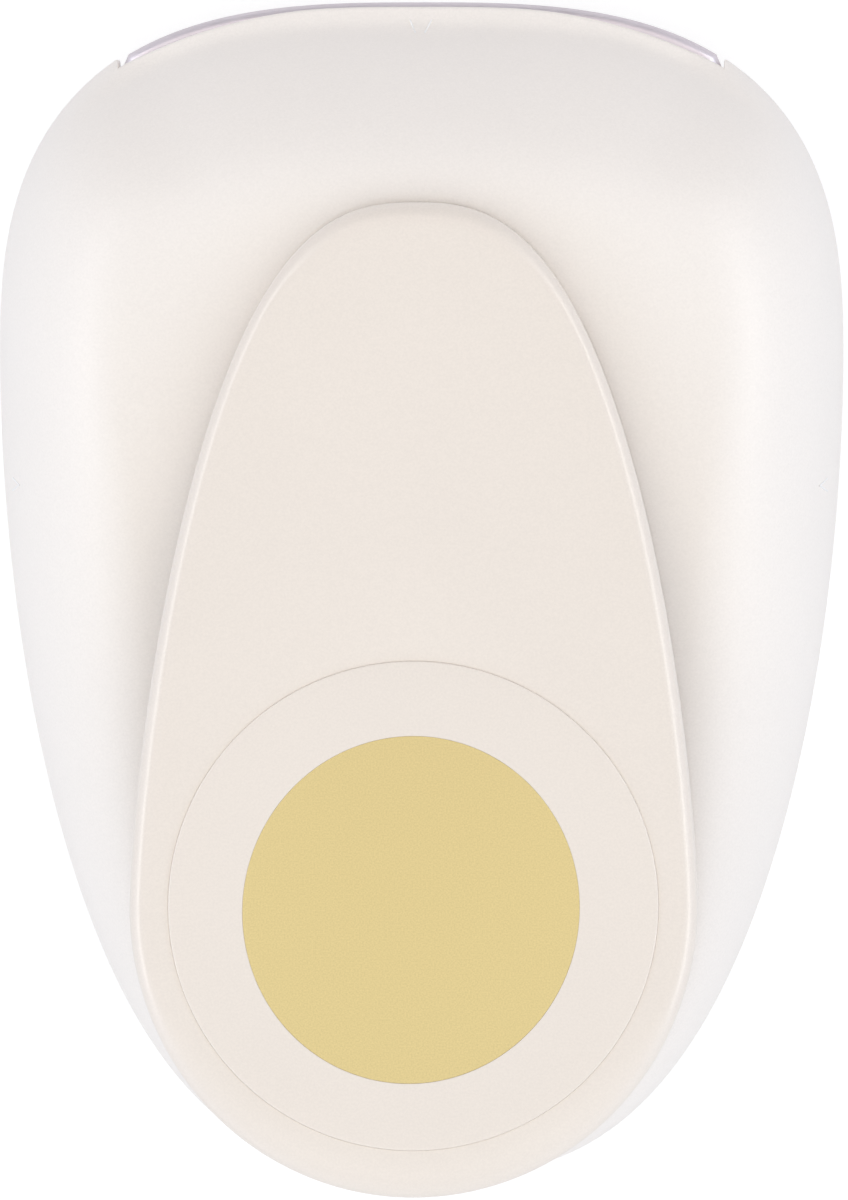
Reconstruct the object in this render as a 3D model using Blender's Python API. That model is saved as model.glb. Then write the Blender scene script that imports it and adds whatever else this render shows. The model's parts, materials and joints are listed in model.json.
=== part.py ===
"""A lever punch for paper circles of 50 mm, as an assembly of separate pieces.

Metres, +Z up. +Y is the front, where paper goes in; +X is to the right as seen from above with the
front at the top. The origin is on the table, under the middle of the whole punch.
"""
import math

import bpy
import bmesh

MM = 0.001

# Running and seating gaps
SEAT_GAP = 0.3 * MM
SLIDE_GAP = 0.4 * MM
COVER_GAP = 0.4 * MM
OVERRUN = 2.0 * MM
REAR_OVERRUN = 100.0 * MM

# Heights of the stack, from the table up
FOOT_HEIGHT = 1.5 * MM
COVER_THICKNESS = 2.4 * MM
DIE_THICKNESS = 6.3 * MM
SHIM_THICKNESS = 1.2 * MM
GUIDE_THICKNESS = 5.0 * MM
COVER_BOTTOM = FOOT_HEIGHT + SEAT_GAP
COVER_TOP = COVER_BOTTOM + COVER_THICKNESS
DIE_BOTTOM = COVER_TOP + SEAT_GAP
DIE_TOP = DIE_BOTTOM + DIE_THICKNESS
SHIM_BOTTOM = DIE_TOP + SEAT_GAP
SHIM_TOP = SHIM_BOTTOM + SHIM_THICKNESS
GUIDE_BOTTOM = SHIM_TOP + SEAT_GAP
GUIDE_TOP = GUIDE_BOTTOM + GUIDE_THICKNESS

# Outline of the housing, seen from above: widest ahead of the middle, long and blunt at the rear
BODY_HALF_WIDTH = 41.5 * MM
BODY_FRONT_LENGTH = 35.0 * MM
BODY_REAR_LENGTH = 81.0 * MM
BODY_LENGTH = BODY_FRONT_LENGTH + BODY_REAR_LENGTH
BODY_FRONT_POWERS = (2.95, 2.7)
BODY_REAR_POWERS = (2.8, 1.89)
BODY_WIDEST_Y = (BODY_REAR_LENGTH - BODY_FRONT_LENGTH) / 2
BODY_FRONT_Y = BODY_LENGTH / 2
BODY = (BODY_HALF_WIDTH, BODY_WIDEST_Y, BODY_FRONT_LENGTH, BODY_REAR_LENGTH,
        BODY_FRONT_POWERS, BODY_REAR_POWERS)

# Housing
SHELL_WALL = 2.2 * MM
SHELL_BOTTOM = 2.1 * MM
SHELL_BELT = 10.0 * MM
SHELL_FOOT_INSET = 1.0 * MM
SHELL_BAND_SHARE = 0.4
SHELL_BAND_INSET = 0.3 * MM
SIDE_SPRING_MARGIN = 2.0 * MM
SIDE_SPRING_HEIGHT = SHELL_BELT + SIDE_SPRING_MARGIN
DECK_PEAK_Y = 15.0 * MM
DECK_FRONT_DROP = 0.8 * MM
DECK_FRONT_RUN = 25.0 * MM
DECK_REAR_DROP = 16.6 * MM
DECK_REAR_RUN = 73.0 * MM
DECK_REAR_POWER = 1.6
SHOULDER_RUN = 15.0 * MM
SHOULDER_BLEND_POWER = 4
FRONT_RISE_POWER = 1.9
FRONT_CREST_POWER = 0.8
LIP_HEIGHT = 15.5 * MM
LIP_RISE = 1.0 * MM
LIP_DEPTH = 2.8 * MM
LIP_RUN = 17.0 * MM
LIP_FULL_X = 26.0 * MM
LIP_GONE_X = 39.0 * MM
RAY_CENTRE_Y = -5.0 * MM
RAY_COUNT = 64
LIP_RING_SHARES = (0.0, 0.08, 0.35, 1.0)
DOME_RING_SHARES = (0.07, 0.17, 0.32, 0.55, 1.0)
INNER_RING_SHARES = (0.0, 0.12, 0.3, 0.6, 1.0)
LEAST_STEP = 0.1 * MM

# Mouth for the paper, between two notches at the front
MOUTH_WIDTH_SHARE = 0.7157
MOUTH_HALF_WIDTH = BODY_HALF_WIDTH * MOUTH_WIDTH_SHARE
MOUTH_TOP = GUIDE_BOTTOM + SEAT_GAP
NOTCH_GAP = 0.7 * MM
LIP_SET_BACK = 0.6 * MM
LIP_CORNER_SET_BACK = 1.3 * MM
LIP_HALF_WIDTH = MOUTH_HALF_WIDTH - NOTCH_GAP
LIP_CHAMFER = 0.6 * MM
LIP_RADIUS = 1.2 * MM

# Die and punch
DIE_CENTRE_Y = 10.9 * MM
PUNCH_WIDTH_SHARE = 0.6024
PUNCH_RADIUS = BODY_HALF_WIDTH * PUNCH_WIDTH_SHARE
PUNCH_THICKNESS = 7.0 * MM
PUNCH_LAND = 2.6 * MM
PUNCH_HOLLOW_DEPTH = 1.5 * MM
PUNCH_REST_GAP = 0.6 * MM
PUNCH_BOTTOM = GUIDE_BOTTOM + PUNCH_REST_GAP
PUNCH_TOP = PUNCH_BOTTOM + PUNCH_THICKNESS
DIE_RADIUS = PUNCH_RADIUS + SLIDE_GAP
DIE_RELIEF = 1.0 * MM
DIE_RELIEF_DEPTH = 3.0 * MM
COVER_HOLE_MARGIN = 1.1 * MM
COVER_HOLE_RADIUS = DIE_RADIUS + DIE_RELIEF + COVER_HOLE_MARGIN
FRAME_INSET = SHELL_FOOT_INSET + SHELL_WALL + COVER_GAP
GUIDE_FRONT_CUT = 4.5 * MM
THROAT_MARGIN = 2.9 * MM
THROAT_Y = DIE_CENTRE_Y - PUNCH_RADIUS - THROAT_MARGIN
SLOT_HALF_WIDTH = MOUTH_HALF_WIDTH + SEAT_GAP
FRAME_REAR_WIDTH = 7.0 * MM
FRAME_REAR_Y = THROAT_Y - FRAME_REAR_WIDTH

# Lever motion: the press pin swings half above and half below the shaft's height
PUNCH_TRAVEL = 4.8 * MM
HINGE_Y = 28.0 * MM
HINGE_Z = 29.0 * MM
LEVER_SLOPE = math.radians(9.5)
PRESS_ARM = HINGE_Y - DIE_CENTRE_Y
PRESS_ANGLE = 2.0 * math.asin(PUNCH_TRAVEL / 2 / PRESS_ARM)
PRESSED_SLOPE = LEVER_SLOPE - PRESS_ANGLE
PRESS_Y = HINGE_Y - PRESS_ARM * math.cos(PRESS_ANGLE / 2)
PRESS_Z = HINGE_Z + PUNCH_TRAVEL / 2

# Lever, in its own frame: origin on the shaft, +Y along the lever to its narrow end, +Z square to its top
LEVER_TOP = 12.3 * MM
LEVER_TIP_REACH = 8.8 * MM
LEVER_FRONT_SHARE = 0.5793
LEVER_FRONT_LENGTH = BODY_LENGTH * LEVER_FRONT_SHARE
LEVER_REAR_SHARE = 0.2362
LEVER_REAR_LENGTH = BODY_LENGTH * LEVER_REAR_SHARE
LEVER_WIDTH_SHARE = 0.6458
LEVER_HALF_WIDTH = BODY_HALF_WIDTH * LEVER_WIDTH_SHARE
LEVER_FRONT_POWERS = (2.65, 1.5)
LEVER_REAR_POWERS = (2.0, 2.0)
LEVER_WIDEST_Y = LEVER_TIP_REACH - LEVER_FRONT_LENGTH
LEVER = (LEVER_HALF_WIDTH, LEVER_WIDEST_Y, LEVER_FRONT_LENGTH, LEVER_REAR_LENGTH,
         LEVER_FRONT_POWERS, LEVER_REAR_POWERS)
LEVER_RAY_Y = -38.0 * MM
LEVER_WALL = 1.8 * MM
LEVER_ROOF = 2.2 * MM
LEVER_ROUND = 1.5 * MM
LEVER_LIP_HEIGHT = 2.6 * MM
LEVER_SKIRT_INSET = 1.2 * MM
LEVER_SKIRT_DRAFT = 0.3 * MM
LEVER_TIP_DEPTH = 5.2 * MM
LEVER_TAIL_DEPTH = 10.6 * MM
LEVER_ROUND_STEPS = 4
WELL_SHARE = 0.944
WELL_RADIUS = LEVER_HALF_WIDTH * WELL_SHARE
WELL_FLOOR = 2.2 * MM
DISC_SHARE = 0.862
DISC_RADIUS = LEVER_HALF_WIDTH * DISC_SHARE
DISC_THICKNESS = 2.0 * MM
DISC_EDGE = 0.3 * MM
LABEL_SHARE = 0.7013
LABEL_RADIUS = DISC_RADIUS * LABEL_SHARE
LABEL_THICKNESS = 0.4 * MM
LABEL_RECESS = 0.6 * MM

# Deck and pocket under the lever, each over the shaft by a margin
DECK_HINGE_MARGIN = 5.8 * MM
DECK_PEAK = HINGE_Z + DECK_HINGE_MARGIN
POCKET_SLOPE = 0.19
POCKET_LEAST_DEPTH = 0.3 * MM
POCKET_HINGE_MARGIN = 5.32 * MM
POCKET_MID_HEIGHT = HINGE_Z + POCKET_HINGE_MARGIN - HINGE_Y * POCKET_SLOPE

# Opening in the deck, round the lever as it lies when pressed, and short of the housing's rear
OPENING_INSET = 0.3 * MM
OPENING_REAR_MARGIN = 3.4 * MM
OPENING_FRONT_Y = (HINGE_Y + LEVER_TIP_REACH * math.cos(LEVER_SLOPE)
                   + LEVER_TOP * math.sin(LEVER_SLOPE) - OPENING_INSET)
OPENING_WIDEST_Y = HINGE_Y + LEVER_WIDEST_Y * math.cos(PRESSED_SLOPE)
OPENING_REAR_Y = BODY_WIDEST_Y - BODY_REAR_LENGTH + OPENING_REAR_MARGIN
OPENING = (LEVER_HALF_WIDTH - OPENING_INSET, OPENING_WIDEST_Y, OPENING_FRONT_Y - OPENING_WIDEST_Y,
           OPENING_WIDEST_Y - OPENING_REAR_Y, LEVER_FRONT_POWERS, LEVER_REAR_POWERS)

# Hole in the pocket's floor, through which the lever reaches the punch
HOLE_INSET = 4.3 * MM
HOLE_HALF_WIDTH = LEVER_HALF_WIDTH - HOLE_INSET
HOLE_WIDEST_Y = -8.0 * MM
HOLE_FRONT_LENGTH = 44.5 * MM
HOLE_REAR_LENGTH = 19.0 * MM
HOLE_REAR_POWERS = (2.6, 2.6)
HOLE = (HOLE_HALF_WIDTH, HOLE_WIDEST_Y, HOLE_FRONT_LENGTH, HOLE_REAR_LENGTH,
        LEVER_FRONT_POWERS, HOLE_REAR_POWERS)

# Hinge shaft and its towers
PIN_RADIUS = 1.5 * MM
TOWER_WIDTH = 3.4 * MM
TOWER_HALF_DEPTH = 4.0 * MM
TOWER_NEAR = HINGE_Y - TOWER_HALF_DEPTH - DIE_CENTRE_Y
TOWER_INNER_X = math.sqrt(PUNCH_RADIUS ** 2 - TOWER_NEAR ** 2) + SEAT_GAP
TOWER_HEAD_RADIUS = 2.6 * MM
CLIP_RADIUS = 2.5 * MM
CLIP_THICKNESS = 0.7 * MM
PIN_END = 0.6 * MM
BUSH_RADIUS = 2.2 * MM
CLIP_X = TOWER_INNER_X + TOWER_WIDTH + SEAT_GAP
PIN_HALF_LENGTH = CLIP_X + CLIP_THICKNESS + PIN_END

# Lever core: a channel with two cheeks and a web
CHEEK_INNER_X = 4.6 * MM
CHEEK_THICKNESS = 3.0 * MM
CHEEK_HEAD_RADIUS = 2.8 * MM
CORE_FRONT_Y = 2.0 * MM
CHEEK_REAR_Y = -26.0 * MM
WEB_THICKNESS = 3.0 * MM
WEB_REAR_Y = -66.0 * MM
CHEEK_OUTER_X = CHEEK_INNER_X + CHEEK_THICKNESS
WEB_TOP = LEVER_TOP - DISC_THICKNESS - SEAT_GAP - WELL_FLOOR - SEAT_GAP
WEB_BOTTOM = WEB_TOP - WEB_THICKNESS

# Punch carrier: a drum with a tongue, and four arms to the guide posts
DRUM_SHARE = 0.58
DRUM_RADIUS = PUNCH_RADIUS * DRUM_SHARE
CARRIER_BOTTOM = PUNCH_TOP + SEAT_GAP
CARRIER_TOP = 25.6 * MM
ARM_THICKNESS = 2.4 * MM
ARM_HALF_WIDTH = 2.8 * MM
ARM_HEAD_RADIUS = 3.5 * MM
TONGUE_HALF_WIDTH = CHEEK_INNER_X - SLIDE_GAP
TONGUE_HALF_DEPTH = 4.5 * MM
TONGUE_CREST = 3.4 * MM
PRESS_SLOT_GAP = 0.6 * MM

# Guide posts and springs: two near the front, two at the rear
POST_RADIUS = 1.6 * MM
POST_HEAD_RADIUS = 2.8 * MM
POST_HEAD_HEIGHT = 1.7 * MM
POST_MARGIN = 5.05 * MM
POST_REACH = PUNCH_RADIUS + POST_MARGIN
SPRING_FLOOR = 1.2 * MM
SPRING_SEAT = GUIDE_BOTTOM + SPRING_FLOOR
SPRING_POCKET_RADIUS = 3.4 * MM
POST_FRONT_Y = HINGE_Y + TOWER_HALF_DEPTH + SPRING_POCKET_RADIUS + SEAT_GAP
POST_FRONT_X = math.sqrt(POST_REACH ** 2 - (POST_FRONT_Y - DIE_CENTRE_Y) ** 2)
POST_REAR_TURN = math.radians(57.8)
POST_REAR_X = POST_REACH * math.cos(POST_REAR_TURN)
POST_REAR_Y = DIE_CENTRE_Y - POST_REACH * math.sin(POST_REAR_TURN)
SPRING_WIRE_RADIUS = 0.35 * MM
SPRING_RADIUS = 2.5 * MM
SPRING_TURNS = 4
SPRING_STEPS = 9
SPRING_SIDES = 6

# Fasteners
SCREW_RADIUS = 1.5 * MM
SCREW_HEAD_RADIUS = 2.6 * MM
SCREW_HEAD_HEIGHT = 1.2 * MM
SCREW_HEAD_EDGE = 0.3 * MM
SCREW_SINK = 0.1 * MM
SCREW_END_GAP = 0.4 * MM
COVER_SCREW_HEAD_BOTTOM = COVER_BOTTOM + SCREW_SINK
COVER_SCREW_HEAD_TOP = COVER_SCREW_HEAD_BOTTOM + SCREW_HEAD_HEIGHT
FRAME_SCREW_HEAD_BOTTOM = DIE_BOTTOM + SCREW_SINK
FRAME_SCREW_HEAD_TOP = FRAME_SCREW_HEAD_BOTTOM + SCREW_HEAD_HEIGHT
PUNCH_SCREW_HEAD_BOTTOM = CARRIER_TOP - SCREW_HEAD_HEIGHT - SCREW_SINK
FRAME_SCREW_LENGTH = 17.6 * MM
FRAME_SCREW_FRONT_Y = 24.0 * MM
FRAME_SCREW_FRONT_INSET = 7.2 * MM
FRAME_SCREW_SIDE_MARGIN = 16.5 * MM
FRAME_SCREW_REAR_X = BODY_HALF_WIDTH - FRAME_SCREW_SIDE_MARGIN
FRAME_SCREW_REAR_MARGIN = 3.4 * MM
FRAME_SCREW_REAR_Y = FRAME_REAR_Y + FRAME_SCREW_REAR_MARGIN
BASE_SCREW_FRONT_X = 24.0 * MM
BASE_SCREW_FRONT_Y = 41.5 * MM
BASE_SCREW_FRONT_LENGTH = 5.0 * MM
BASE_SCREW_SIDE_MARGIN = 21.5 * MM
BASE_SCREW_REAR_X = BODY_HALF_WIDTH - BASE_SCREW_SIDE_MARGIN
BASE_SCREW_REAR_Y = -35.0 * MM
BASE_SCREW_REAR_LENGTH = 10.0 * MM
BOSS_RADIUS = 3.2 * MM
PUNCH_SCREW_SHARE = 0.38
PUNCH_SCREW_X = PUNCH_RADIUS * PUNCH_SCREW_SHARE
PUNCH_SCREW_LENGTH = 8.0 * MM
LEVER_SCREW_RADIUS = 1.2 * MM
LEVER_SCREW_HEAD_RADIUS = 2.4 * MM
LEVER_SCREW_LENGTH = 4.4 * MM
LEVER_SCREW_FRONT_Y = -31.0 * MM
LEVER_SCREW_REAR_Y = -60.0 * MM
LEVER_BOSS_RADIUS = 3.2 * MM

# Feet
FOOT_RADIUS = 5.0 * MM
FOOT_EDGE = 0.4 * MM
FOOT_SIDE_MARGIN = 11.5 * MM
FOOT_FRONT_X = BODY_HALF_WIDTH - FOOT_SIDE_MARGIN
FOOT_FRONT_Y = 30.0 * MM
FOOT_REAR_SHARE = 0.3253
FOOT_REAR_X = BODY_HALF_WIDTH * FOOT_REAR_SHARE
FOOT_REAR_Y = -46.0 * MM

ROUND_STEPS = 64
SMALL_STEPS = 16
FILLET_STEPS = 8
SHARP_ANGLE = math.radians(35)


def clear_scene():
    for old in list(bpy.data.objects):
        bpy.data.objects.remove(old, do_unlink=True)


def make_material(name, colour, roughness, metallic=0.0):
    material = bpy.data.materials.new(name)
    material.use_nodes = True
    shader = material.node_tree.nodes["Principled BSDF"]
    shader.inputs["Base Color"].default_value = (*colour, 1.0)
    shader.inputs["Roughness"].default_value = roughness
    shader.inputs["Metallic"].default_value = metallic
    material.diffuse_color = (*colour, 1.0)
    return material


def make_object(name, mesh_data, material, parent=None, place=(0, 0, 0)):
    mesh = bpy.data.meshes.new(name)
    bmesh.ops.recalc_face_normals(mesh_data, faces=mesh_data.faces)
    mesh_data.to_mesh(mesh)
    mesh_data.free()
    if material:
        mesh.materials.append(material)
    made = bpy.data.objects.new(name, mesh)
    bpy.context.scene.collection.objects.link(made)
    mesh.shade_smooth()
    mesh.set_sharp_from_angle(angle=SHARP_ANGLE)
    made.parent = parent
    made.location = place
    return made


def make_pivot(name, place, tilt=0.0, parent=None):
    pivot = bpy.data.objects.new(name, None)
    bpy.context.scene.collection.objects.link(pivot)
    pivot.parent = parent
    pivot.location = place
    pivot.rotation_euler = (tilt, 0, 0)
    return pivot


def boolean(target, operation, tool):
    """Cut the target with a hidden tool, join the tool to it, or keep what both share."""
    step = target.modifiers.new(operation.lower() + "_" + tool.name, "BOOLEAN")
    step.operation = operation
    step.object = tool
    tool.hide_render = True
    tool.display_type = "WIRE"


def loft(rings, ends="caps"):
    """Skin a list of rings of points; ends is caps, or loop where the last ring joins the first."""
    body = bmesh.new()
    rows = [[body.verts.new(point) for point in ring] for ring in rings]
    pairs = list(zip(rows, rows[1:]))
    if ends == "loop":
        pairs.append((rows[-1], rows[0]))
    else:
        body.faces.new(list(reversed(rows[0])))
        body.faces.new(rows[-1])
    for lower, upper in pairs:
        for index in range(len(lower)):
            after = (index + 1) % len(lower)
            body.faces.new((lower[index], lower[after], upper[after], upper[index]))
    return body


def prism(outline, low, high):
    return loft([[(x, y, low) for x, y in outline], [(x, y, high) for x, y in outline]])


def block(low, high):
    outline = [(low[0], low[1]), (high[0], low[1]), (high[0], high[1]), (low[0], high[1])]
    return prism(outline, low[2], high[2])


def turned(profile, steps=ROUND_STEPS):
    """A solid turned about Z from (radius, height) pairs, lowest first."""
    rings = []
    for radius, height in profile:
        turns = [2 * math.pi * step / steps for step in range(steps)]
        rings.append([(radius * math.cos(turn), radius * math.sin(turn), height) for turn in turns])
    return loft(rings)


def turned_ring(profile, steps=ROUND_STEPS):
    """A ring turned about Z from a closed loop of (radius, height) pairs."""
    rings = []
    for radius, height in profile:
        turns = [2 * math.pi * step / steps for step in range(steps)]
        rings.append([(radius * math.cos(turn), radius * math.sin(turn), height) for turn in turns])
    return loft(rings, ends="loop")


def rod(radius, low, high, steps=SMALL_STEPS):
    return turned([(radius, low), (radius, high)], steps)


def lay_along_x(made):
    """Turn a mesh built about Z so that its axis runs along X."""
    for vertex in made.data.vertices:
        x, y, z = vertex.co
        vertex.co = (z, y, -x)
    return made


def raised_power(value, power):
    return abs(value) ** power


def egg_value(egg, x, y):
    """1 on the egg's outline, less inside it and more outside."""
    half_width, widest_y, front, rear, front_powers, rear_powers = egg
    along = y - widest_y
    length, powers = (front, front_powers) if along > 0 else (rear, rear_powers)
    return raised_power(x / half_width, powers[0]) + raised_power(along / length, powers[1])


def inset_egg(egg, inset):
    half_width, widest_y, front, rear, front_powers, rear_powers = egg
    return (half_width - inset, widest_y, front - inset, rear - inset, front_powers, rear_powers)


def egg_half_width(egg, y):
    half_width, widest_y, front, rear, front_powers, rear_powers = egg
    along = y - widest_y
    length, powers = (front, front_powers) if along > 0 else (rear, rear_powers)
    return half_width * (1 - raised_power(along / length, powers[1])) ** (1 / powers[0])


def egg_reach(egg, centre_y, turn):
    """Distance from the point (0, centre_y) to the outline in the direction of the turn."""
    near = 0.0
    far = egg[0] + egg[2] + egg[3]
    for _ in range(50):
        middle = (near + far) / 2
        if egg_value(egg, middle * math.cos(turn), centre_y + middle * math.sin(turn)) < 1:
            near = middle
        else:
            far = middle
    return near


def ray_turns(count):
    return [2 * math.pi * (step + 0.5) / count for step in range(count)]


def egg_outline(egg, centre_y, count=RAY_COUNT):
    points = []
    for turn in ray_turns(count):
        reach = egg_reach(egg, centre_y, turn)
        points.append((reach * math.cos(turn), centre_y + reach * math.sin(turn)))
    return points


def smooth_step(value, low, high):
    share = min(max((value - low) / (high - low), 0.0), 1.0)
    return share * share * (3 - 2 * share)


def deck_height(y):
    """Height of the housing's deck along the lever's opening."""
    if y > DECK_PEAK_Y:
        return DECK_PEAK - DECK_FRONT_DROP * ((y - DECK_PEAK_Y) / DECK_FRONT_RUN) ** 2
    return DECK_PEAK - DECK_REAR_DROP * ((DECK_PEAK_Y - y) / DECK_REAR_RUN) ** DECK_REAR_POWER


def pocket_height(y):
    """Height of the floor under the lever, parallel to the pressed lever's lower edge."""
    return min(POCKET_MID_HEIGHT + POCKET_SLOPE * y, deck_height(y) - POCKET_LEAST_DEPTH)


def lip_share(edge_x, edge_y):
    """1 where the front lip is full, 0 at the sides and the rear."""
    if edge_y < BODY_WIDEST_Y:
        return 0.0
    return 1 - smooth_step(abs(edge_x), LIP_FULL_X, LIP_GONE_X)


def dome_height(depth, gap, y, front):
    """Height of the housing at a depth inside its outline, of the gap between outline and opening."""
    crown = deck_height(y)
    blend = SHOULDER_BLEND_POWER
    run = (SHOULDER_RUN ** -blend + gap ** -blend) ** (-1 / blend)
    side_share = min(depth / run, 1.0)
    side = SIDE_SPRING_HEIGHT + (crown - SIDE_SPRING_HEIGHT) * math.sqrt(1 - (1 - side_share) ** 2)
    lip = LIP_HEIGHT + LIP_RISE * min(depth / LIP_DEPTH, 1.0)
    rise_share = min(max(depth - LIP_DEPTH, 0.0) / LIP_RUN, 1.0)
    slope = (1 - (1 - rise_share) ** FRONT_RISE_POWER) ** FRONT_CREST_POWER
    return side + (lip + (crown - lip) * slope - side) * front


def ray_spans(turn):
    """Distances along a ray to the outline, the lever's opening and the hole, and the lip's share."""
    edge = egg_reach(BODY, RAY_CENTRE_Y, turn)
    opening = egg_reach(OPENING, RAY_CENTRE_Y, turn)
    hole = egg_reach(HOLE, RAY_CENTRE_Y, turn)
    front = lip_share(edge * math.cos(turn), RAY_CENTRE_Y + edge * math.sin(turn))
    return edge, opening, hole, front


def outer_profile(turn):
    """(reach, height) pairs up the outside of the housing along one ray, then over its deck."""
    edge, opening, hole, front = ray_spans(turn)
    gap = edge - opening
    band = SHELL_BOTTOM + (SHELL_BELT - SHELL_BOTTOM) * SHELL_BAND_SHARE
    pairs = [(edge - SHELL_FOOT_INSET, SHELL_BOTTOM), (edge - SHELL_BAND_INSET, band),
             (edge, SHELL_BELT)]
    depths = [LIP_DEPTH * share for share in LIP_RING_SHARES]
    depths += [LIP_DEPTH + (gap - LIP_DEPTH) * share for share in DOME_RING_SHARES]
    for depth in depths:
        y = RAY_CENTRE_Y + (edge - depth) * math.sin(turn)
        pairs.append((edge - depth, dome_height(depth, gap, y, front)))
    floor = pocket_height(RAY_CENTRE_Y + opening * math.sin(turn))
    pairs.append((opening - POCKET_LEAST_DEPTH, floor))
    pairs.append((hole, pocket_height(RAY_CENTRE_Y + hole * math.sin(turn))))
    return pairs


def inner_profile(turn):
    """(reach, height) pairs up the inside of the housing along one ray, a wall below the outside."""
    edge, opening, hole, front = ray_spans(turn)
    gap = edge - opening
    start = SHELL_FOOT_INSET + SHELL_WALL
    run = max(gap - SHELL_WALL / 2, start + len(INNER_RING_SHARES) * LEAST_STEP) - start
    pairs = [(edge - start, SHELL_BOTTOM), (edge - start, SHELL_BELT)]
    for share in INNER_RING_SHARES:
        depth = start + run * share
        y = RAY_CENTRE_Y + (edge - depth) * math.sin(turn)
        height = dome_height(depth, gap, y, front)
        slope = (dome_height(depth + LEAST_STEP, gap, y, front) - height) / LEAST_STEP
        height -= SHELL_WALL * math.hypot(1, slope)
        pairs.append((min(edge - depth, pairs[-1][0]), max(height, pairs[-1][1] + LEAST_STEP)))
    floor = pocket_height(RAY_CENTRE_Y + opening * math.sin(turn)) - SHELL_WALL
    pairs.append((pairs[-1][0] - LEAST_STEP, min(floor, pairs[-1][1] - LEAST_STEP)))
    pairs.append((hole, pocket_height(RAY_CENTRE_Y + hole * math.sin(turn)) - SHELL_WALL))
    return pairs


def shell_rings():
    turns = ray_turns(RAY_COUNT)
    columns = [outer_profile(turn) + list(reversed(inner_profile(turn))) for turn in turns]
    rings = []
    for row in range(len(columns[0])):
        ring = []
        for turn, column in zip(turns, columns):
            reach, height = column[row]
            ring.append((reach * math.cos(turn), RAY_CENTRE_Y + reach * math.sin(turn), height))
        rings.append(ring)
    return rings


def housing_height(x, y):
    """Height of the housing's outside above a point of its plan."""
    turn = math.atan2(y - RAY_CENTRE_Y, x)
    reach = math.hypot(x, y - RAY_CENTRE_Y)
    edge = egg_reach(BODY, RAY_CENTRE_Y, turn)
    opening = egg_reach(OPENING, RAY_CENTRE_Y, turn)
    if reach < opening:
        return pocket_height(y)
    front = lip_share(edge * math.cos(turn), RAY_CENTRE_Y + edge * math.sin(turn))
    return dome_height(edge - reach, edge - opening, y, front)


def boss_roof(x, y):
    """Height inside the wall over a boss, low enough that none of it comes through."""
    rim = [(x + BOSS_RADIUS, y), (x - BOSS_RADIUS, y), (x, y + BOSS_RADIUS), (x, y - BOSS_RADIUS)]
    return min(housing_height(*spot) for spot in rim) - SHELL_WALL / 2


def lip_edge(set_back, corner_set_back, half_width, steps=12):
    """Points along the front outline between the notches, set back more towards its ends."""
    points = []
    for step in range(steps + 1):
        x = half_width * (2 * step / steps - 1)
        back = set_back + (corner_set_back - set_back) * (x / half_width) ** 2
        half, widest_y, front, _, powers, _ = BODY
        y = widest_y + front * (1 - raised_power(x / half, powers[0])) ** (1 / powers[1])
        points.append((x, y - back))
    return points


def mouth_tools():
    """Hidden solids that open the housing for the paper and set its upper lip back."""
    low = (-MOUTH_HALF_WIDTH, BODY_WIDEST_Y, SHELL_BOTTOM - OVERRUN)
    high = (MOUTH_HALF_WIDTH, BODY_FRONT_Y + OVERRUN, MOUTH_TOP)
    slot = make_object("mouth_tool", block(low, high), None)
    edge = lip_edge(LIP_SET_BACK, LIP_CORNER_SET_BACK, MOUTH_HALF_WIDTH)
    outer_y = BODY_FRONT_Y + OVERRUN
    outline = edge + [(MOUTH_HALF_WIDTH, outer_y), (-MOUTH_HALF_WIDTH, outer_y)]
    lip = make_object("lip_tool", prism(outline, MOUTH_TOP - OVERRUN, DECK_PEAK), None)
    return slot, lip


def frame_screw_places():
    front_x = egg_half_width(BODY, FRAME_SCREW_FRONT_Y) - FRAME_SCREW_FRONT_INSET
    return [(-front_x, FRAME_SCREW_FRONT_Y), (front_x, FRAME_SCREW_FRONT_Y),
            (-FRAME_SCREW_REAR_X, FRAME_SCREW_REAR_Y), (FRAME_SCREW_REAR_X, FRAME_SCREW_REAR_Y)]


def base_screw_places():
    return [(-BASE_SCREW_FRONT_X, BASE_SCREW_FRONT_Y), (BASE_SCREW_FRONT_X, BASE_SCREW_FRONT_Y),
            (-BASE_SCREW_REAR_X, BASE_SCREW_REAR_Y), (BASE_SCREW_REAR_X, BASE_SCREW_REAR_Y)]


def foot_places():
    return [(-FOOT_FRONT_X, FOOT_FRONT_Y), (FOOT_FRONT_X, FOOT_FRONT_Y),
            (-FOOT_REAR_X, FOOT_REAR_Y), (FOOT_REAR_X, FOOT_REAR_Y)]


def post_places():
    return [(-POST_FRONT_X, POST_FRONT_Y), (POST_FRONT_X, POST_FRONT_Y),
            (-POST_REAR_X, POST_REAR_Y), (POST_REAR_X, POST_REAR_Y)]


def drill(target, name, places, radius, low, high, steps=SMALL_STEPS):
    """Cut a round hole into the target at each place."""
    for number, (x, y) in enumerate(places, 1):
        tool = make_object(f"{name}_{number}", rod(radius, low, high, steps), None, place=(x, y, 0))
        tool.parent = target.parent
        boolean(target, "DIFFERENCE", tool)


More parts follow.
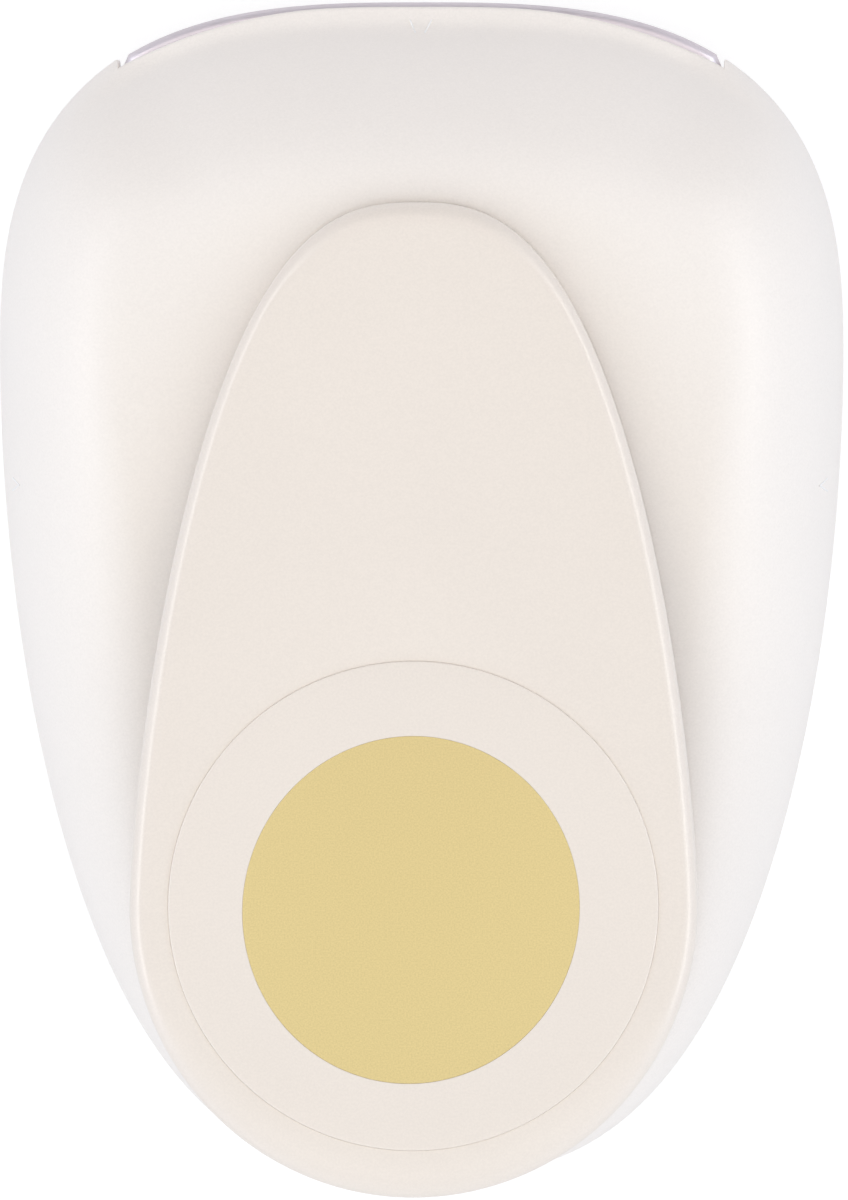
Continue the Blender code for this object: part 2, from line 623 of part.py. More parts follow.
def make_shell(plastic):
    shell = make_object("shell", loft(shell_rings(), ends="loop"), plastic)
    for tool in mouth_tools():
        boolean(shell, "DIFFERENCE", tool)
    frame_bottom = GUIDE_TOP + SEAT_GAP
    frame_top = FRAME_SCREW_HEAD_TOP + FRAME_SCREW_LENGTH + SCREW_END_GAP
    rear_top = COVER_SCREW_HEAD_TOP + BASE_SCREW_REAR_LENGTH + SCREW_END_GAP
    bosses = [(x, y, frame_bottom) for x, y in frame_screw_places()]
    bosses += [(x, y, COVER_TOP + SEAT_GAP) for x, y in base_screw_places()[2:]]
    for number, (x, y, low) in enumerate(bosses, 1):
        boss = make_object(f"shell_boss_{number}", rod(BOSS_RADIUS, low, boss_roof(x, y)), None,
                           place=(x, y, 0))
        boolean(shell, "UNION", boss)
    bore = SCREW_RADIUS + SEAT_GAP
    drill(shell, "frame_bore", frame_screw_places(), bore, frame_bottom - OVERRUN, frame_top)
    drill(shell, "base_bore", base_screw_places()[2:], bore, COVER_TOP - OVERRUN, rear_top)


def make_base_cover(plastic):
    outline = egg_outline(inset_egg(BODY, FRAME_INSET), RAY_CENTRE_Y)
    cover = make_object("base_cover", prism(outline, COVER_BOTTOM, COVER_TOP), plastic)
    hole_low, hole_high = COVER_BOTTOM - OVERRUN, COVER_TOP + OVERRUN
    drill(cover, "cover_hole", [(0, DIE_CENTRE_Y)], COVER_HOLE_RADIUS, hole_low, hole_high, ROUND_STEPS)
    drill(cover, "cover_bore", base_screw_places(), SCREW_RADIUS + SEAT_GAP, hole_low, hole_high)
    drill(cover, "cover_sink", base_screw_places(), SCREW_HEAD_RADIUS + SEAT_GAP, hole_low,
          COVER_SCREW_HEAD_TOP + SEAT_GAP)


def frame_plate(name, low, high, material, front_cut=0):
    """A plate of the metal frame: the housing's inner outline, square at the rear."""
    half_width, widest_y, front, rear, front_powers, rear_powers = inset_egg(BODY, FRAME_INSET)
    egg = (half_width, widest_y, front - front_cut, rear, front_powers, rear_powers)
    outline = egg_outline(egg, RAY_CENTRE_Y)
    plate = make_object(name, prism(outline, low, high), material)
    tool = make_object(name + "_rear_tool",
                       block((-REAR_OVERRUN, -REAR_OVERRUN, low - OVERRUN),
                             (REAR_OVERRUN, FRAME_REAR_Y, high + OVERRUN)), None)
    boolean(plate, "DIFFERENCE", tool)
    drill(plate, name + "_screw_bore", frame_screw_places(), SCREW_RADIUS + SEAT_GAP,
          low - OVERRUN, high + OVERRUN)
    return plate


def jaw_lip():
    """The metal lip between the notches, chamfered below and rounded above."""
    top_edge = DIE_TOP - LIP_RADIUS
    levels = [(LIP_CHAMFER, DIE_BOTTOM), (0, DIE_BOTTOM + LIP_CHAMFER), (0, top_edge)]
    for step in range(1, FILLET_STEPS // 2 + 1):
        turn = math.pi / 2 * step / (FILLET_STEPS // 2)
        levels.append((LIP_RADIUS * (1 - math.cos(turn)), top_edge + LIP_RADIUS * math.sin(turn)))
    rings = []
    for inset, height in levels:
        edge = lip_edge(inset, inset, LIP_HALF_WIDTH)
        rear = [(LIP_HALF_WIDTH, BODY_WIDEST_Y), (-LIP_HALF_WIDTH, BODY_WIDEST_Y)]
        ring = edge + rear
        rings.append([(x, y, height) for x, y in reversed(ring)])
    return rings


def make_lower_die(metal):
    die = frame_plate("lower_die", DIE_BOTTOM, DIE_TOP, metal)
    lip = make_object("lip_body", loft(jaw_lip()), None)
    boolean(die, "UNION", lip)
    drill(die, "die_bore", [(0, DIE_CENTRE_Y)], DIE_RADIUS, DIE_BOTTOM - OVERRUN, DIE_TOP + OVERRUN,
          ROUND_STEPS)
    drill(die, "die_relief", [(0, DIE_CENTRE_Y)], DIE_RADIUS + DIE_RELIEF, DIE_BOTTOM - OVERRUN,
          DIE_BOTTOM + DIE_RELIEF_DEPTH, ROUND_STEPS)
    drill(die, "die_sink", frame_screw_places(), SCREW_HEAD_RADIUS + SEAT_GAP, DIE_BOTTOM - OVERRUN,
          FRAME_SCREW_HEAD_TOP + SEAT_GAP)
    drill(die, "die_tap", base_screw_places()[:2], SCREW_RADIUS + SEAT_GAP, DIE_BOTTOM - OVERRUN,
          COVER_SCREW_HEAD_TOP + BASE_SCREW_FRONT_LENGTH + SCREW_END_GAP)


def make_throat_spacer(metal):
    spacer = frame_plate("throat_spacer", SHIM_BOTTOM, SHIM_TOP, metal)
    tool = make_object("throat_tool",
                       block((-SLOT_HALF_WIDTH, THROAT_Y, SHIM_BOTTOM - OVERRUN),
                             (SLOT_HALF_WIDTH, BODY_FRONT_Y + OVERRUN, SHIM_TOP + OVERRUN)), None)
    boolean(spacer, "DIFFERENCE", tool)
    front = make_object("spacer_front_tool",
                        block((-REAR_OVERRUN, BASE_SCREW_FRONT_Y, SHIM_BOTTOM - OVERRUN),
                              (REAR_OVERRUN, REAR_OVERRUN, SHIM_TOP + OVERRUN)), None)
    boolean(spacer, "DIFFERENCE", front)


def tower_outline():
    """Side view of a hinge tower: a foot in the plate, narrowing to a round head on the shaft."""
    points = [(HINGE_Y - TOWER_HALF_DEPTH, GUIDE_TOP - OVERRUN),
              (HINGE_Y + TOWER_HALF_DEPTH, GUIDE_TOP - OVERRUN)]
    for step in range(FILLET_STEPS + 1):
        turn = math.pi * step / FILLET_STEPS
        points.append((HINGE_Y + TOWER_HEAD_RADIUS * math.cos(turn),
                       HINGE_Z + TOWER_HEAD_RADIUS * math.sin(turn)))
    return points


def slab_along_x(outline, low_x, high_x):
    """Extrude a (y, z) outline along X."""
    return loft([[(low_x, y, z) for y, z in outline], [(high_x, y, z) for y, z in outline]])


def shaft_tool(name, radius, half_length, y, z, parent=None):
    tool = make_object(name, rod(radius, -half_length, half_length), None)
    lay_along_x(tool)
    tool.parent = parent
    tool.location = (0, y, z)
    return tool


def make_punch_guide(metal):
    guide = frame_plate("punch_guide", GUIDE_BOTTOM, GUIDE_TOP, metal, GUIDE_FRONT_CUT)
    outer_x = TOWER_INNER_X + TOWER_WIDTH
    for name, low_x, high_x in (("left", -outer_x, -TOWER_INNER_X), ("right", TOWER_INNER_X, outer_x)):
        tower = make_object("tower_" + name, slab_along_x(tower_outline(), low_x, high_x), None)
        boolean(guide, "UNION", tower)
    boolean(guide, "DIFFERENCE",
            shaft_tool("tower_bore", PIN_RADIUS + SEAT_GAP, PIN_HALF_LENGTH, HINGE_Y, HINGE_Z))
    drill(guide, "guide_bore", [(0, DIE_CENTRE_Y)], PUNCH_RADIUS + SLIDE_GAP, GUIDE_BOTTOM - OVERRUN,
          GUIDE_TOP + OVERRUN, ROUND_STEPS)
    drill(guide, "spring_pocket", post_places(), SPRING_POCKET_RADIUS, SPRING_SEAT, GUIDE_TOP + OVERRUN)


def make_punch(metal, slide):
    hollow = PUNCH_RADIUS - PUNCH_LAND
    profile = [(hollow - PUNCH_HOLLOW_DEPTH, PUNCH_BOTTOM + PUNCH_HOLLOW_DEPTH), (hollow, PUNCH_BOTTOM),
               (PUNCH_RADIUS, PUNCH_BOTTOM), (PUNCH_RADIUS, PUNCH_TOP)]
    punch = make_object("punch", turned(profile), metal, slide)
    drill(punch, "punch_tap", punch_screw_places(), SCREW_RADIUS + SEAT_GAP,
          PUNCH_SCREW_HEAD_BOTTOM - PUNCH_SCREW_LENGTH - SCREW_END_GAP, PUNCH_TOP + OVERRUN)


def punch_screw_places():
    return [(-PUNCH_SCREW_X, 0), (PUNCH_SCREW_X, 0)]


def arm_body(x, y, low, high):
    """An arm from the drum to a post, with a round head, seen from above."""
    reach = math.hypot(x, y)
    along = (x / reach, y / reach)
    across = (-along[1], along[0])
    half_turn = math.asin(ARM_HALF_WIDTH / ARM_HEAD_RADIUS)
    outline = [(across[0] * -ARM_HALF_WIDTH, across[1] * -ARM_HALF_WIDTH)]
    for step in range(FILLET_STEPS + 1):
        turn = (math.pi - half_turn) * (2 * step / FILLET_STEPS - 1)
        out, side = ARM_HEAD_RADIUS * math.cos(turn), ARM_HEAD_RADIUS * math.sin(turn)
        outline.append((x + along[0] * out + across[0] * side, y + along[1] * out + across[1] * side))
    outline.append((across[0] * ARM_HALF_WIDTH, across[1] * ARM_HALF_WIDTH))
    return prism(outline, low, high)


def make_punch_carrier(plastic, slide):
    drum = [(DRUM_RADIUS, CARRIER_BOTTOM), (DRUM_RADIUS, CARRIER_TOP)]
    carrier = make_object("punch_carrier", turned(drum), plastic, slide)
    places = [(x, y - DIE_CENTRE_Y) for x, y in post_places()]
    for number, (x, y) in enumerate(places, 1):
        arm = make_object(f"arm_{number}", arm_body(x, y, CARRIER_TOP - ARM_THICKNESS, CARRIER_TOP),
                          None, slide)
        boolean(carrier, "UNION", arm)
    tongue_y = PRESS_Y - DIE_CENTRE_Y
    tongue_low = CARRIER_TOP - ARM_THICKNESS
    points = [(tongue_y - TONGUE_HALF_DEPTH, tongue_low), (tongue_y + TONGUE_HALF_DEPTH, tongue_low)]
    for step in range(FILLET_STEPS + 1):
        turn = math.pi * step / FILLET_STEPS
        points.append((tongue_y + TONGUE_HALF_DEPTH * math.cos(turn),
                       PRESS_Z + TONGUE_CREST * math.sin(turn)))
    tongue = make_object("tongue", slab_along_x(points, -TONGUE_HALF_WIDTH, TONGUE_HALF_WIDTH), None,
                         slide)
    boolean(carrier, "UNION", tongue)
    boolean(carrier, "DIFFERENCE",
            shaft_tool("tongue_bore", PIN_RADIUS + PRESS_SLOT_GAP, TONGUE_HALF_WIDTH + OVERRUN,
                       tongue_y, PRESS_Z, slide))
    drill(carrier, "arm_bore", places, POST_RADIUS + SEAT_GAP, CARRIER_BOTTOM - OVERRUN,
          CARRIER_TOP + OVERRUN)
    drill(carrier, "carrier_bore", punch_screw_places(), SCREW_RADIUS + SEAT_GAP,
          CARRIER_BOTTOM - OVERRUN, CARRIER_TOP + OVERRUN)
    drill(carrier, "carrier_sink", punch_screw_places(), SCREW_HEAD_RADIUS + SEAT_GAP,
          PUNCH_SCREW_HEAD_BOTTOM - SEAT_GAP, CARRIER_TOP + OVERRUN)


def screw_up(name, place, head_bottom, length, material, parent=None,
             radius=SCREW_RADIUS, head_radius=SCREW_HEAD_RADIUS):
    """A pan-head screw with its head below and its shank upwards."""
    head_top = head_bottom + SCREW_HEAD_HEIGHT
    profile = [(head_radius - SCREW_HEAD_EDGE, head_bottom),
               (head_radius, head_bottom + SCREW_HEAD_EDGE), (head_radius, head_top),
               (radius, head_top), (radius, head_top + length - SCREW_HEAD_EDGE),
               (radius - SCREW_HEAD_EDGE, head_top + length)]
    make_object(name, turned(profile, SMALL_STEPS), material, parent, (*place, 0))


def make_screws(steel, slide, pivot):
    for number, place in enumerate(frame_screw_places(), 1):
        screw_up(f"frame_screw_{number}", place, FRAME_SCREW_HEAD_BOTTOM, FRAME_SCREW_LENGTH, steel)
    lengths = 2 * [BASE_SCREW_FRONT_LENGTH] + 2 * [BASE_SCREW_REAR_LENGTH]
    for number, (place, length) in enumerate(zip(base_screw_places(), lengths), 1):
        screw_up(f"base_screw_{number}", place, COVER_SCREW_HEAD_BOTTOM, length, steel)
    for number, place in enumerate(punch_screw_places(), 1):
        head_top = PUNCH_SCREW_HEAD_BOTTOM + SCREW_HEAD_HEIGHT
        profile = [(SCREW_RADIUS, PUNCH_SCREW_HEAD_BOTTOM - PUNCH_SCREW_LENGTH),
                   (SCREW_RADIUS, PUNCH_SCREW_HEAD_BOTTOM), (SCREW_HEAD_RADIUS, PUNCH_SCREW_HEAD_BOTTOM),
                   (SCREW_HEAD_RADIUS, head_top - SCREW_HEAD_EDGE),
                   (SCREW_HEAD_RADIUS - SCREW_HEAD_EDGE, head_top)]
        make_object(f"punch_screw_{number}", turned(profile, SMALL_STEPS), steel, slide, (*place, 0))
    for number, y in enumerate((LEVER_SCREW_FRONT_Y, LEVER_SCREW_REAR_Y), 1):
        head_bottom = WEB_BOTTOM - SEAT_GAP - SCREW_HEAD_HEIGHT
        screw_up(f"lever_screw_{number}", (0, y), head_bottom, LEVER_SCREW_LENGTH, steel, pivot,
                 LEVER_SCREW_RADIUS, LEVER_SCREW_HEAD_RADIUS)


def make_posts(steel):
    head_bottom = CARRIER_TOP + SEAT_GAP
    head_top = head_bottom + POST_HEAD_HEIGHT
    profile = [(POST_RADIUS, SPRING_SEAT + SEAT_GAP), (POST_RADIUS, head_bottom),
               (POST_HEAD_RADIUS, head_bottom), (POST_HEAD_RADIUS, head_top - SCREW_HEAD_EDGE),
               (POST_HEAD_RADIUS - SCREW_HEAD_EDGE, head_top)]
    for number, place in enumerate(post_places(), 1):
        make_object(f"guide_post_{number}", turned(profile, SMALL_STEPS), steel, None, (*place, 0))


def spring_path(low, high):
    """Centre line of a return spring as (turn, height) pairs, with the wire's ends on the seats."""
    steps = SPRING_TURNS * SPRING_STEPS
    return [(2 * math.pi * step / SPRING_STEPS, low + (high - low) * step / steps)
            for step in range(steps + 1)]


def spring_centre(turn, height, along=0):
    """A point of the centre line, or one a straight run along the wire from it."""
    return (SPRING_RADIUS * math.cos(turn) - along * math.sin(turn),
            SPRING_RADIUS * math.sin(turn) + along * math.cos(turn), height)


def wire_ring(centre, turn):
    """Points round the wire, in the upright plane through the spring's axis."""
    ring = []
    for side in range(SPRING_SIDES):
        angle = 2 * math.pi * side / SPRING_SIDES
        out, up = SPRING_WIRE_RADIUS * math.cos(angle), SPRING_WIRE_RADIUS * math.sin(angle)
        ring.append((centre[0] + out * math.cos(turn), centre[1] + out * math.sin(turn), centre[2] + up))
    return ring


def least_self_gap(points):
    """Smallest clear distance between two turns of the wire."""
    least = None
    for index, first in enumerate(points):
        for second in points[index + SPRING_STEPS // 2:]:
            gap = math.dist(first, second) - 2 * SPRING_WIRE_RADIUS
            least = gap if least is None else min(least, gap)
    return least


def make_springs(steel):
    low = SPRING_SEAT + SEAT_GAP + SPRING_WIRE_RADIUS
    high = CARRIER_TOP - ARM_THICKNESS - SEAT_GAP - SPRING_WIRE_RADIUS
    path = spring_path(low, high)
    points = [spring_centre(turn, height) for turn, height in path]
    print("least gap between the turns of a spring, mm:", round(least_self_gap(points) / MM, 3))
    wire = 2 * SPRING_WIRE_RADIUS
    first = wire_ring(spring_centre(*path[0], -wire), path[0][0])
    last = wire_ring(spring_centre(*path[-1], wire), path[-1][0])
    rings = [first] + [wire_ring(point, turn) for point, (turn, _) in zip(points, path)] + [last]
    for number, place in enumerate(post_places(), 1):
        make_object(f"return_spring_{number}", loft(rings), steel, None, (*place, 0))


def make_hinge(steel, plastic):
    pin = make_object("hinge_pin", rod(PIN_RADIUS, -PIN_HALF_LENGTH, PIN_HALF_LENGTH), steel)
    lay_along_x(pin)
    pin.location = (0, HINGE_Y, HINGE_Z)
    bore = PIN_RADIUS + SEAT_GAP
    bush_low = CHEEK_OUTER_X + SEAT_GAP
    bush_high = TOWER_INNER_X - SEAT_GAP
    clip_high = CLIP_X + CLIP_THICKNESS
    for side, name in ((-1, "left"), (1, "right")):
        low, high = sorted((side * bush_low, side * bush_high))
        profile = [(bore, low), (BUSH_RADIUS, low), (BUSH_RADIUS, high), (bore, high)]
        bush = make_object("hinge_bush_" + name, turned_ring(profile, SMALL_STEPS), plastic)
        lay_along_x(bush)
        bush.location = (0, HINGE_Y, HINGE_Z)
        low, high = sorted((side * CLIP_X, side * clip_high))
        profile = [(bore, low), (CLIP_RADIUS, low), (CLIP_RADIUS, high), (bore, high)]
        clip = make_object("hinge_clip_" + name, turned_ring(profile, SMALL_STEPS), steel)
        lay_along_x(clip)
        clip.location = (0, HINGE_Y, HINGE_Z)


def skirt_depth(y):
    """Depth of the lever's side below its top, growing from the narrow end to the wide one."""
    length = LEVER_FRONT_LENGTH + LEVER_REAR_LENGTH
    share = (LEVER_TIP_REACH - y) / length
    return LEVER_TIP_DEPTH + (LEVER_TAIL_DEPTH - LEVER_TIP_DEPTH) * share


def lever_rings():
    """Rings of the lever's cup: over the top, round the edge, down the skirt and back inside."""
    levels = []
    for step in range(LEVER_ROUND_STEPS + 1):
        turn = math.pi / 2 * step / LEVER_ROUND_STEPS
        levels.append((LEVER_ROUND * (1 - math.sin(turn)), LEVER_ROUND * (1 - math.cos(turn))))
    levels.append((0.0, LEVER_LIP_HEIGHT))
    levels.append((LEVER_SKIRT_INSET, LEVER_LIP_HEIGHT))
    outer_foot = LEVER_SKIRT_INSET + LEVER_SKIRT_DRAFT
    inner_foot = outer_foot + LEVER_WALL
    rings = [[(x, y, LEVER_TOP - down) for x, y in egg_outline(inset_egg(LEVER, inset), LEVER_RAY_Y)]
             for inset, down in levels]
    for inset in (outer_foot, inner_foot):
        outline = egg_outline(inset_egg(LEVER, inset), LEVER_RAY_Y)
        rings.append([(x, y, LEVER_TOP - skirt_depth(y)) for x, y in outline])
    roof = egg_outline(inset_egg(LEVER, LEVER_SKIRT_INSET + LEVER_WALL), LEVER_RAY_Y)
    rings.append([(x, y, LEVER_TOP - LEVER_ROOF) for x, y in roof])
    return rings


def make_lever(plastic, pivot):
    lever = make_object("lever", loft(lever_rings()), plastic, pivot)
    well_bottom = LEVER_TOP - DISC_THICKNESS - SEAT_GAP - WELL_FLOOR
    well = make_object("well_body", rod(WELL_RADIUS, well_bottom, LEVER_TOP - LEVER_ROOF / 2,
                                        ROUND_STEPS), None, pivot, (0, LEVER_WIDEST_Y, 0))
    trim = make_object("well_trim", loft(well_trim_rings(well_bottom)), None, pivot)
    boolean(well, "INTERSECT", trim)
    boolean(lever, "UNION", well)
    boss = make_object("lever_boss", rod(LEVER_BOSS_RADIUS, WEB_TOP + SEAT_GAP,
                                         LEVER_TOP - LEVER_ROOF / 2), None, pivot,
                       (0, LEVER_SCREW_FRONT_Y, 0))
    boolean(lever, "UNION", boss)
    drill(lever, "disc_recess", [(0, LEVER_WIDEST_Y)], DISC_RADIUS + SEAT_GAP,
          LEVER_TOP - DISC_THICKNESS - SEAT_GAP, LEVER_TOP + OVERRUN, ROUND_STEPS)
    drill(lever, "lever_bore", [(0, LEVER_SCREW_FRONT_Y), (0, LEVER_SCREW_REAR_Y)],
          LEVER_SCREW_RADIUS + SEAT_GAP, WEB_TOP - OVERRUN,
          WEB_BOTTOM - SEAT_GAP + LEVER_SCREW_LENGTH + SEAT_GAP)


def well_trim_rings(well_bottom):
    """The space between the lever's skirts, which the well under the disc has to keep to."""
    outline = egg_outline(inset_egg(LEVER, LEVER_SKIRT_INSET + LEVER_WALL / 2), LEVER_RAY_Y)
    return [[(x, y, well_bottom - OVERRUN) for x, y in outline],
            [(x, y, LEVER_TOP) for x, y in outline]]


def make_lever_core(metal, pivot):
    press_y, press_z = press_pin_place()
    hub = [(CHEEK_HEAD_RADIUS * math.cos(math.pi / 2 * (step / FILLET_STEPS - 1)),
            CHEEK_HEAD_RADIUS * math.sin(math.pi / 2 * (step / FILLET_STEPS - 1)))
           for step in range(FILLET_STEPS + 1)]
    press = [(press_y - CHEEK_HEAD_RADIUS * math.sin(math.pi / 2 * step / FILLET_STEPS),
              press_z - CHEEK_HEAD_RADIUS * math.cos(math.pi / 2 * step / FILLET_STEPS))
             for step in range(FILLET_STEPS + 1)]
    top = WEB_TOP
    outline = list(reversed(press)) + hub + [(CORE_FRONT_Y, top), (CHEEK_REAR_Y, top),
                                             (CHEEK_REAR_Y, WEB_BOTTOM)]
    web = block((-CHEEK_OUTER_X, WEB_REAR_Y, WEB_BOTTOM), (CHEEK_OUTER_X, CORE_FRONT_Y, WEB_TOP))
    core = make_object("lever_core", web, metal, pivot)
    for name, low_x, high_x in (("left", -CHEEK_OUTER_X, -CHEEK_INNER_X),
                                ("right", CHEEK_INNER_X, CHEEK_OUTER_X)):
        cheek = make_object("cheek_" + name, slab_along_x(outline, low_x, high_x), None, pivot)
        boolean(core, "UNION", cheek)
    half = CHEEK_OUTER_X + OVERRUN
    bore = PIN_RADIUS + SEAT_GAP
    boolean(core, "DIFFERENCE", shaft_tool("hub_bore", bore, half, 0, 0, pivot))
    boolean(core, "DIFFERENCE", shaft_tool("press_bore", bore, half, press_y, press_z, pivot))
    drill(core, "core_bore", [(0, LEVER_SCREW_FRONT_Y), (0, LEVER_SCREW_REAR_Y)],
          LEVER_SCREW_RADIUS + SEAT_GAP, WEB_BOTTOM - OVERRUN, WEB_TOP + OVERRUN)


def press_pin_place():
    """The press pin's axis in the lever's frame, as (y, z)."""
    back, up = PRESS_Y - HINGE_Y, PRESS_Z - HINGE_Z
    return (back * math.cos(LEVER_SLOPE) - up * math.sin(LEVER_SLOPE),
            back * math.sin(LEVER_SLOPE) + up * math.cos(LEVER_SLOPE))


def make_press_pin(steel, pivot):
    pin = make_object("press_pin", rod(PIN_RADIUS, -CHEEK_OUTER_X, CHEEK_OUTER_X), steel)
    lay_along_x(pin)
    pin.parent = pivot
    pin.location = (0, *press_pin_place())


def make_disc_and_label(plastic, gold, pivot):
    top = LEVER_TOP
    bottom = top - DISC_THICKNESS
    floor = top - LABEL_RECESS
    recess = LABEL_RADIUS + SEAT_GAP
    disc = [(DISC_RADIUS, bottom), (DISC_RADIUS, top - DISC_EDGE), (DISC_RADIUS - DISC_EDGE, top),
            (recess, top), (recess, floor)]
    make_object("lever_disc", turned(disc), plastic, pivot, (0, LEVER_WIDEST_Y, 0))
    label = [(LABEL_RADIUS, floor + SEAT_GAP), (LABEL_RADIUS, floor + SEAT_GAP + LABEL_THICKNESS)]
    make_object("gold_label", turned(label), gold, pivot, (0, LEVER_WIDEST_Y, 0))


def make_feet(rubber):
    profile = [(FOOT_RADIUS - FOOT_EDGE, 0), (FOOT_RADIUS, FOOT_EDGE), (FOOT_RADIUS, FOOT_HEIGHT)]
    for number, place in enumerate(foot_places(), 1):
        make_object(f"foot_{number}", turned(profile, 2 * SMALL_STEPS), rubber, None, (*place, 0))


def build():
    clear_scene()
    cream = make_material("cream_plastic", (0.87, 0.82, 0.76), 0.45)
    pale = make_material("base_plastic", (0.80, 0.76, 0.71), 0.55)
    white = make_material("carrier_plastic", (0.78, 0.78, 0.76), 0.5)
    cast = make_material("cast_metal", (0.52, 0.49, 0.53), 0.42, 0.9)
    shim = make_material("shim_steel", (0.58, 0.58, 0.60), 0.35, 1.0)
    steel = make_material("bright_steel", (0.66, 0.66, 0.68), 0.28, 1.0)
    tool_steel = make_material("punch_steel", (0.50, 0.50, 0.52), 0.22, 1.0)
    gold = make_material("gold_foil", (0.79, 0.64, 0.30), 0.40, 0.6)
    rubber = make_material("foot_rubber", (0.12, 0.12, 0.12), 0.85)

    pivot = make_pivot("lever_pivot", (0, HINGE_Y, HINGE_Z), -LEVER_SLOPE)
    slide = make_pivot("punch_slide", (0, DIE_CENTRE_Y, 0))

    make_shell(cream)
    make_base_cover(pale)
    make_lower_die(cast)
    make_throat_spacer(shim)
    make_punch_guide(cast)
    make_punch(tool_steel, slide)
    make_punch_carrier(white, slide)
    make_posts(steel)
    make_springs(steel)
    make_hinge(steel, white)
    make_lever(cream, pivot)
    make_lever_core(cast, pivot)
    make_press_pin(steel, pivot)
    make_disc_and_label(cream, gold, pivot)
    make_screws(steel, slide, pivot)
    make_feet(rubber)


build()
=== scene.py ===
"""Looks of the lever punch: fine surfaces, materials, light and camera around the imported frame.

Metres, +Z up, +Y to the front with the paper slot. The outlines repeat the formulas of the solids.
"""
import json
import math
from collections import namedtuple

import bmesh
import bpy
from mathutils import Matrix, Vector


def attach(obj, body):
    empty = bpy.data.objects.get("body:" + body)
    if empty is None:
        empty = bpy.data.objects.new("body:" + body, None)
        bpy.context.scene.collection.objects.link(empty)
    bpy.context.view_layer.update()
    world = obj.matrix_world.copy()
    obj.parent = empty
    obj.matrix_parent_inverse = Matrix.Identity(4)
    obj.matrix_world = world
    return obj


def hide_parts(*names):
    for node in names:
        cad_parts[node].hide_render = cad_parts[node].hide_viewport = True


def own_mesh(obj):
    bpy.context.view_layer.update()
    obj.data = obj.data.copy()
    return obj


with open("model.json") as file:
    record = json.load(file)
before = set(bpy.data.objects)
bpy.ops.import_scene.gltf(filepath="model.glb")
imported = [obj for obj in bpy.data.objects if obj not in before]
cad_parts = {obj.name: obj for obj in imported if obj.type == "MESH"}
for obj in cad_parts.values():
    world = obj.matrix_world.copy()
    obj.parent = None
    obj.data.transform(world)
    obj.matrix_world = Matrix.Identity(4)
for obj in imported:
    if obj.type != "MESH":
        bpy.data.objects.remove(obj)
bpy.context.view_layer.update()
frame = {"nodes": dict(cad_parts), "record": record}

MM = 0.001

# An egg outline: half width, Y of the widest line, two lengths from there, and their powers of X and Y
Egg = namedtuple("Egg", "half_width widest_y front rear front_powers rear_powers")

# Gaps and stack, as in the solids
SEAT_GAP = 0.3 * MM
SLIDE_GAP = 0.4 * MM
COVER_BOTTOM = 1.8 * MM
COVER_TOP = 4.2 * MM
DIE_BOTTOM = 4.5 * MM
DIE_TOP = 10.8 * MM
GUIDE_BOTTOM = 12.6 * MM

# Housing
BODY_WIDEST_Y = 23.0 * MM
BODY = Egg(41.5 * MM, BODY_WIDEST_Y, 35.0 * MM, 81.0 * MM, (2.95, 2.7), (2.8, 1.89))
BODY_REAR_Y = BODY_WIDEST_Y - BODY.rear
SHELL_WALL = 2.2 * MM
SHELL_BOTTOM = 2.1 * MM
SHELL_BELT = 10.0 * MM
SHELL_FOOT_INSET = 1.0 * MM
SHELL_FOOT_POWER = 2.36
SHELL_EDGE_ROUND = 0.4 * MM
SIDE_SPRING_HEIGHT = 12.0 * MM
DECK_PEAK = 34.8 * MM
DECK_PEAK_Y = 15.0 * MM
DECK_FRONT_DROP = 0.8 * MM
DECK_FRONT_RUN = 25.0 * MM
DECK_REAR_DROP = 16.6 * MM
DECK_REAR_RUN = 73.0 * MM
DECK_REAR_POWER = 1.6
SHOULDER_RUN = 17.5 * MM
SHOULDER_BLEND_POWER = 4
FRONT_RISE_POWER = 1.9
FRONT_CREST_POWER = 0.8
LIP_HEIGHT = 15.5 * MM
LIP_RISE = 1.0 * MM
LIP_DEPTH = 2.8 * MM
LIP_RUN = 17.0 * MM
LIP_FULL_X = 26.0 * MM
LIP_GONE_X = 39.0 * MM
POCKET_MID_HEIGHT = 29.0 * MM
POCKET_SLOPE = 0.19
POCKET_LEAST_DEPTH = 0.3 * MM
RIM_ROUND = 0.7 * MM
RAY_CENTRE_Y = -5.0 * MM
LEAST_STEP = 0.1 * MM
MOUTH_HALF_WIDTH = 29.7 * MM
MOUTH_TOP = GUIDE_BOTTOM + SEAT_GAP
NOTCH_STEP = 0.04 * MM
NOTCH_SHARES = (0.0, 0.15, 0.45, 1.0)
NOTCH_BEND_WIDTH = 12.0 * MM
NOTCH_BEND_DEPTH = 4.0 * MM
NOTCH_ROUND = 0.35 * MM
NOTCH_DRAFT = 0.6 * MM
NOTCH_DRAFT_WIDTH = 4.0 * MM
LIP_SET_BACK = 0.55 * MM
LIP_SIDE_SET_BACK = 0.65 * MM
LIP_CORNER_RETURN = 0.18 * MM
LIP_SIDES_FROM, LIP_SIDES_TO = 9.0 * MM, 26.0 * MM
LIP_EDGE_ROUND = 0.3 * MM
LIP_CREASE_ROUND = 0.5 * MM
LIP_HALF_WIDTH = 29.0 * MM
LIP_END_FLARE = 0.6 * MM
LIP_END_RUN = 1.4 * MM
LIP_CHAMFER = 0.6 * MM
LIP_CHAMFER_RISE = 1.3
LIP_RADIUS = 1.2 * MM

# Die and frame
DIE_CENTRE_Y = 10.9 * MM
DIE_RADIUS = 25.4 * MM
DIE_RELIEF_RADIUS = 26.4 * MM
DIE_RELIEF_DEPTH = 3.0 * MM
DIE_EDGE = 0.15 * MM
COVER_HOLE_RADIUS = 27.5 * MM
COVER_ROUND = 0.5 * MM
FRAME_INSET = 3.6 * MM
FRAME_REAR_Y = -24.0 * MM

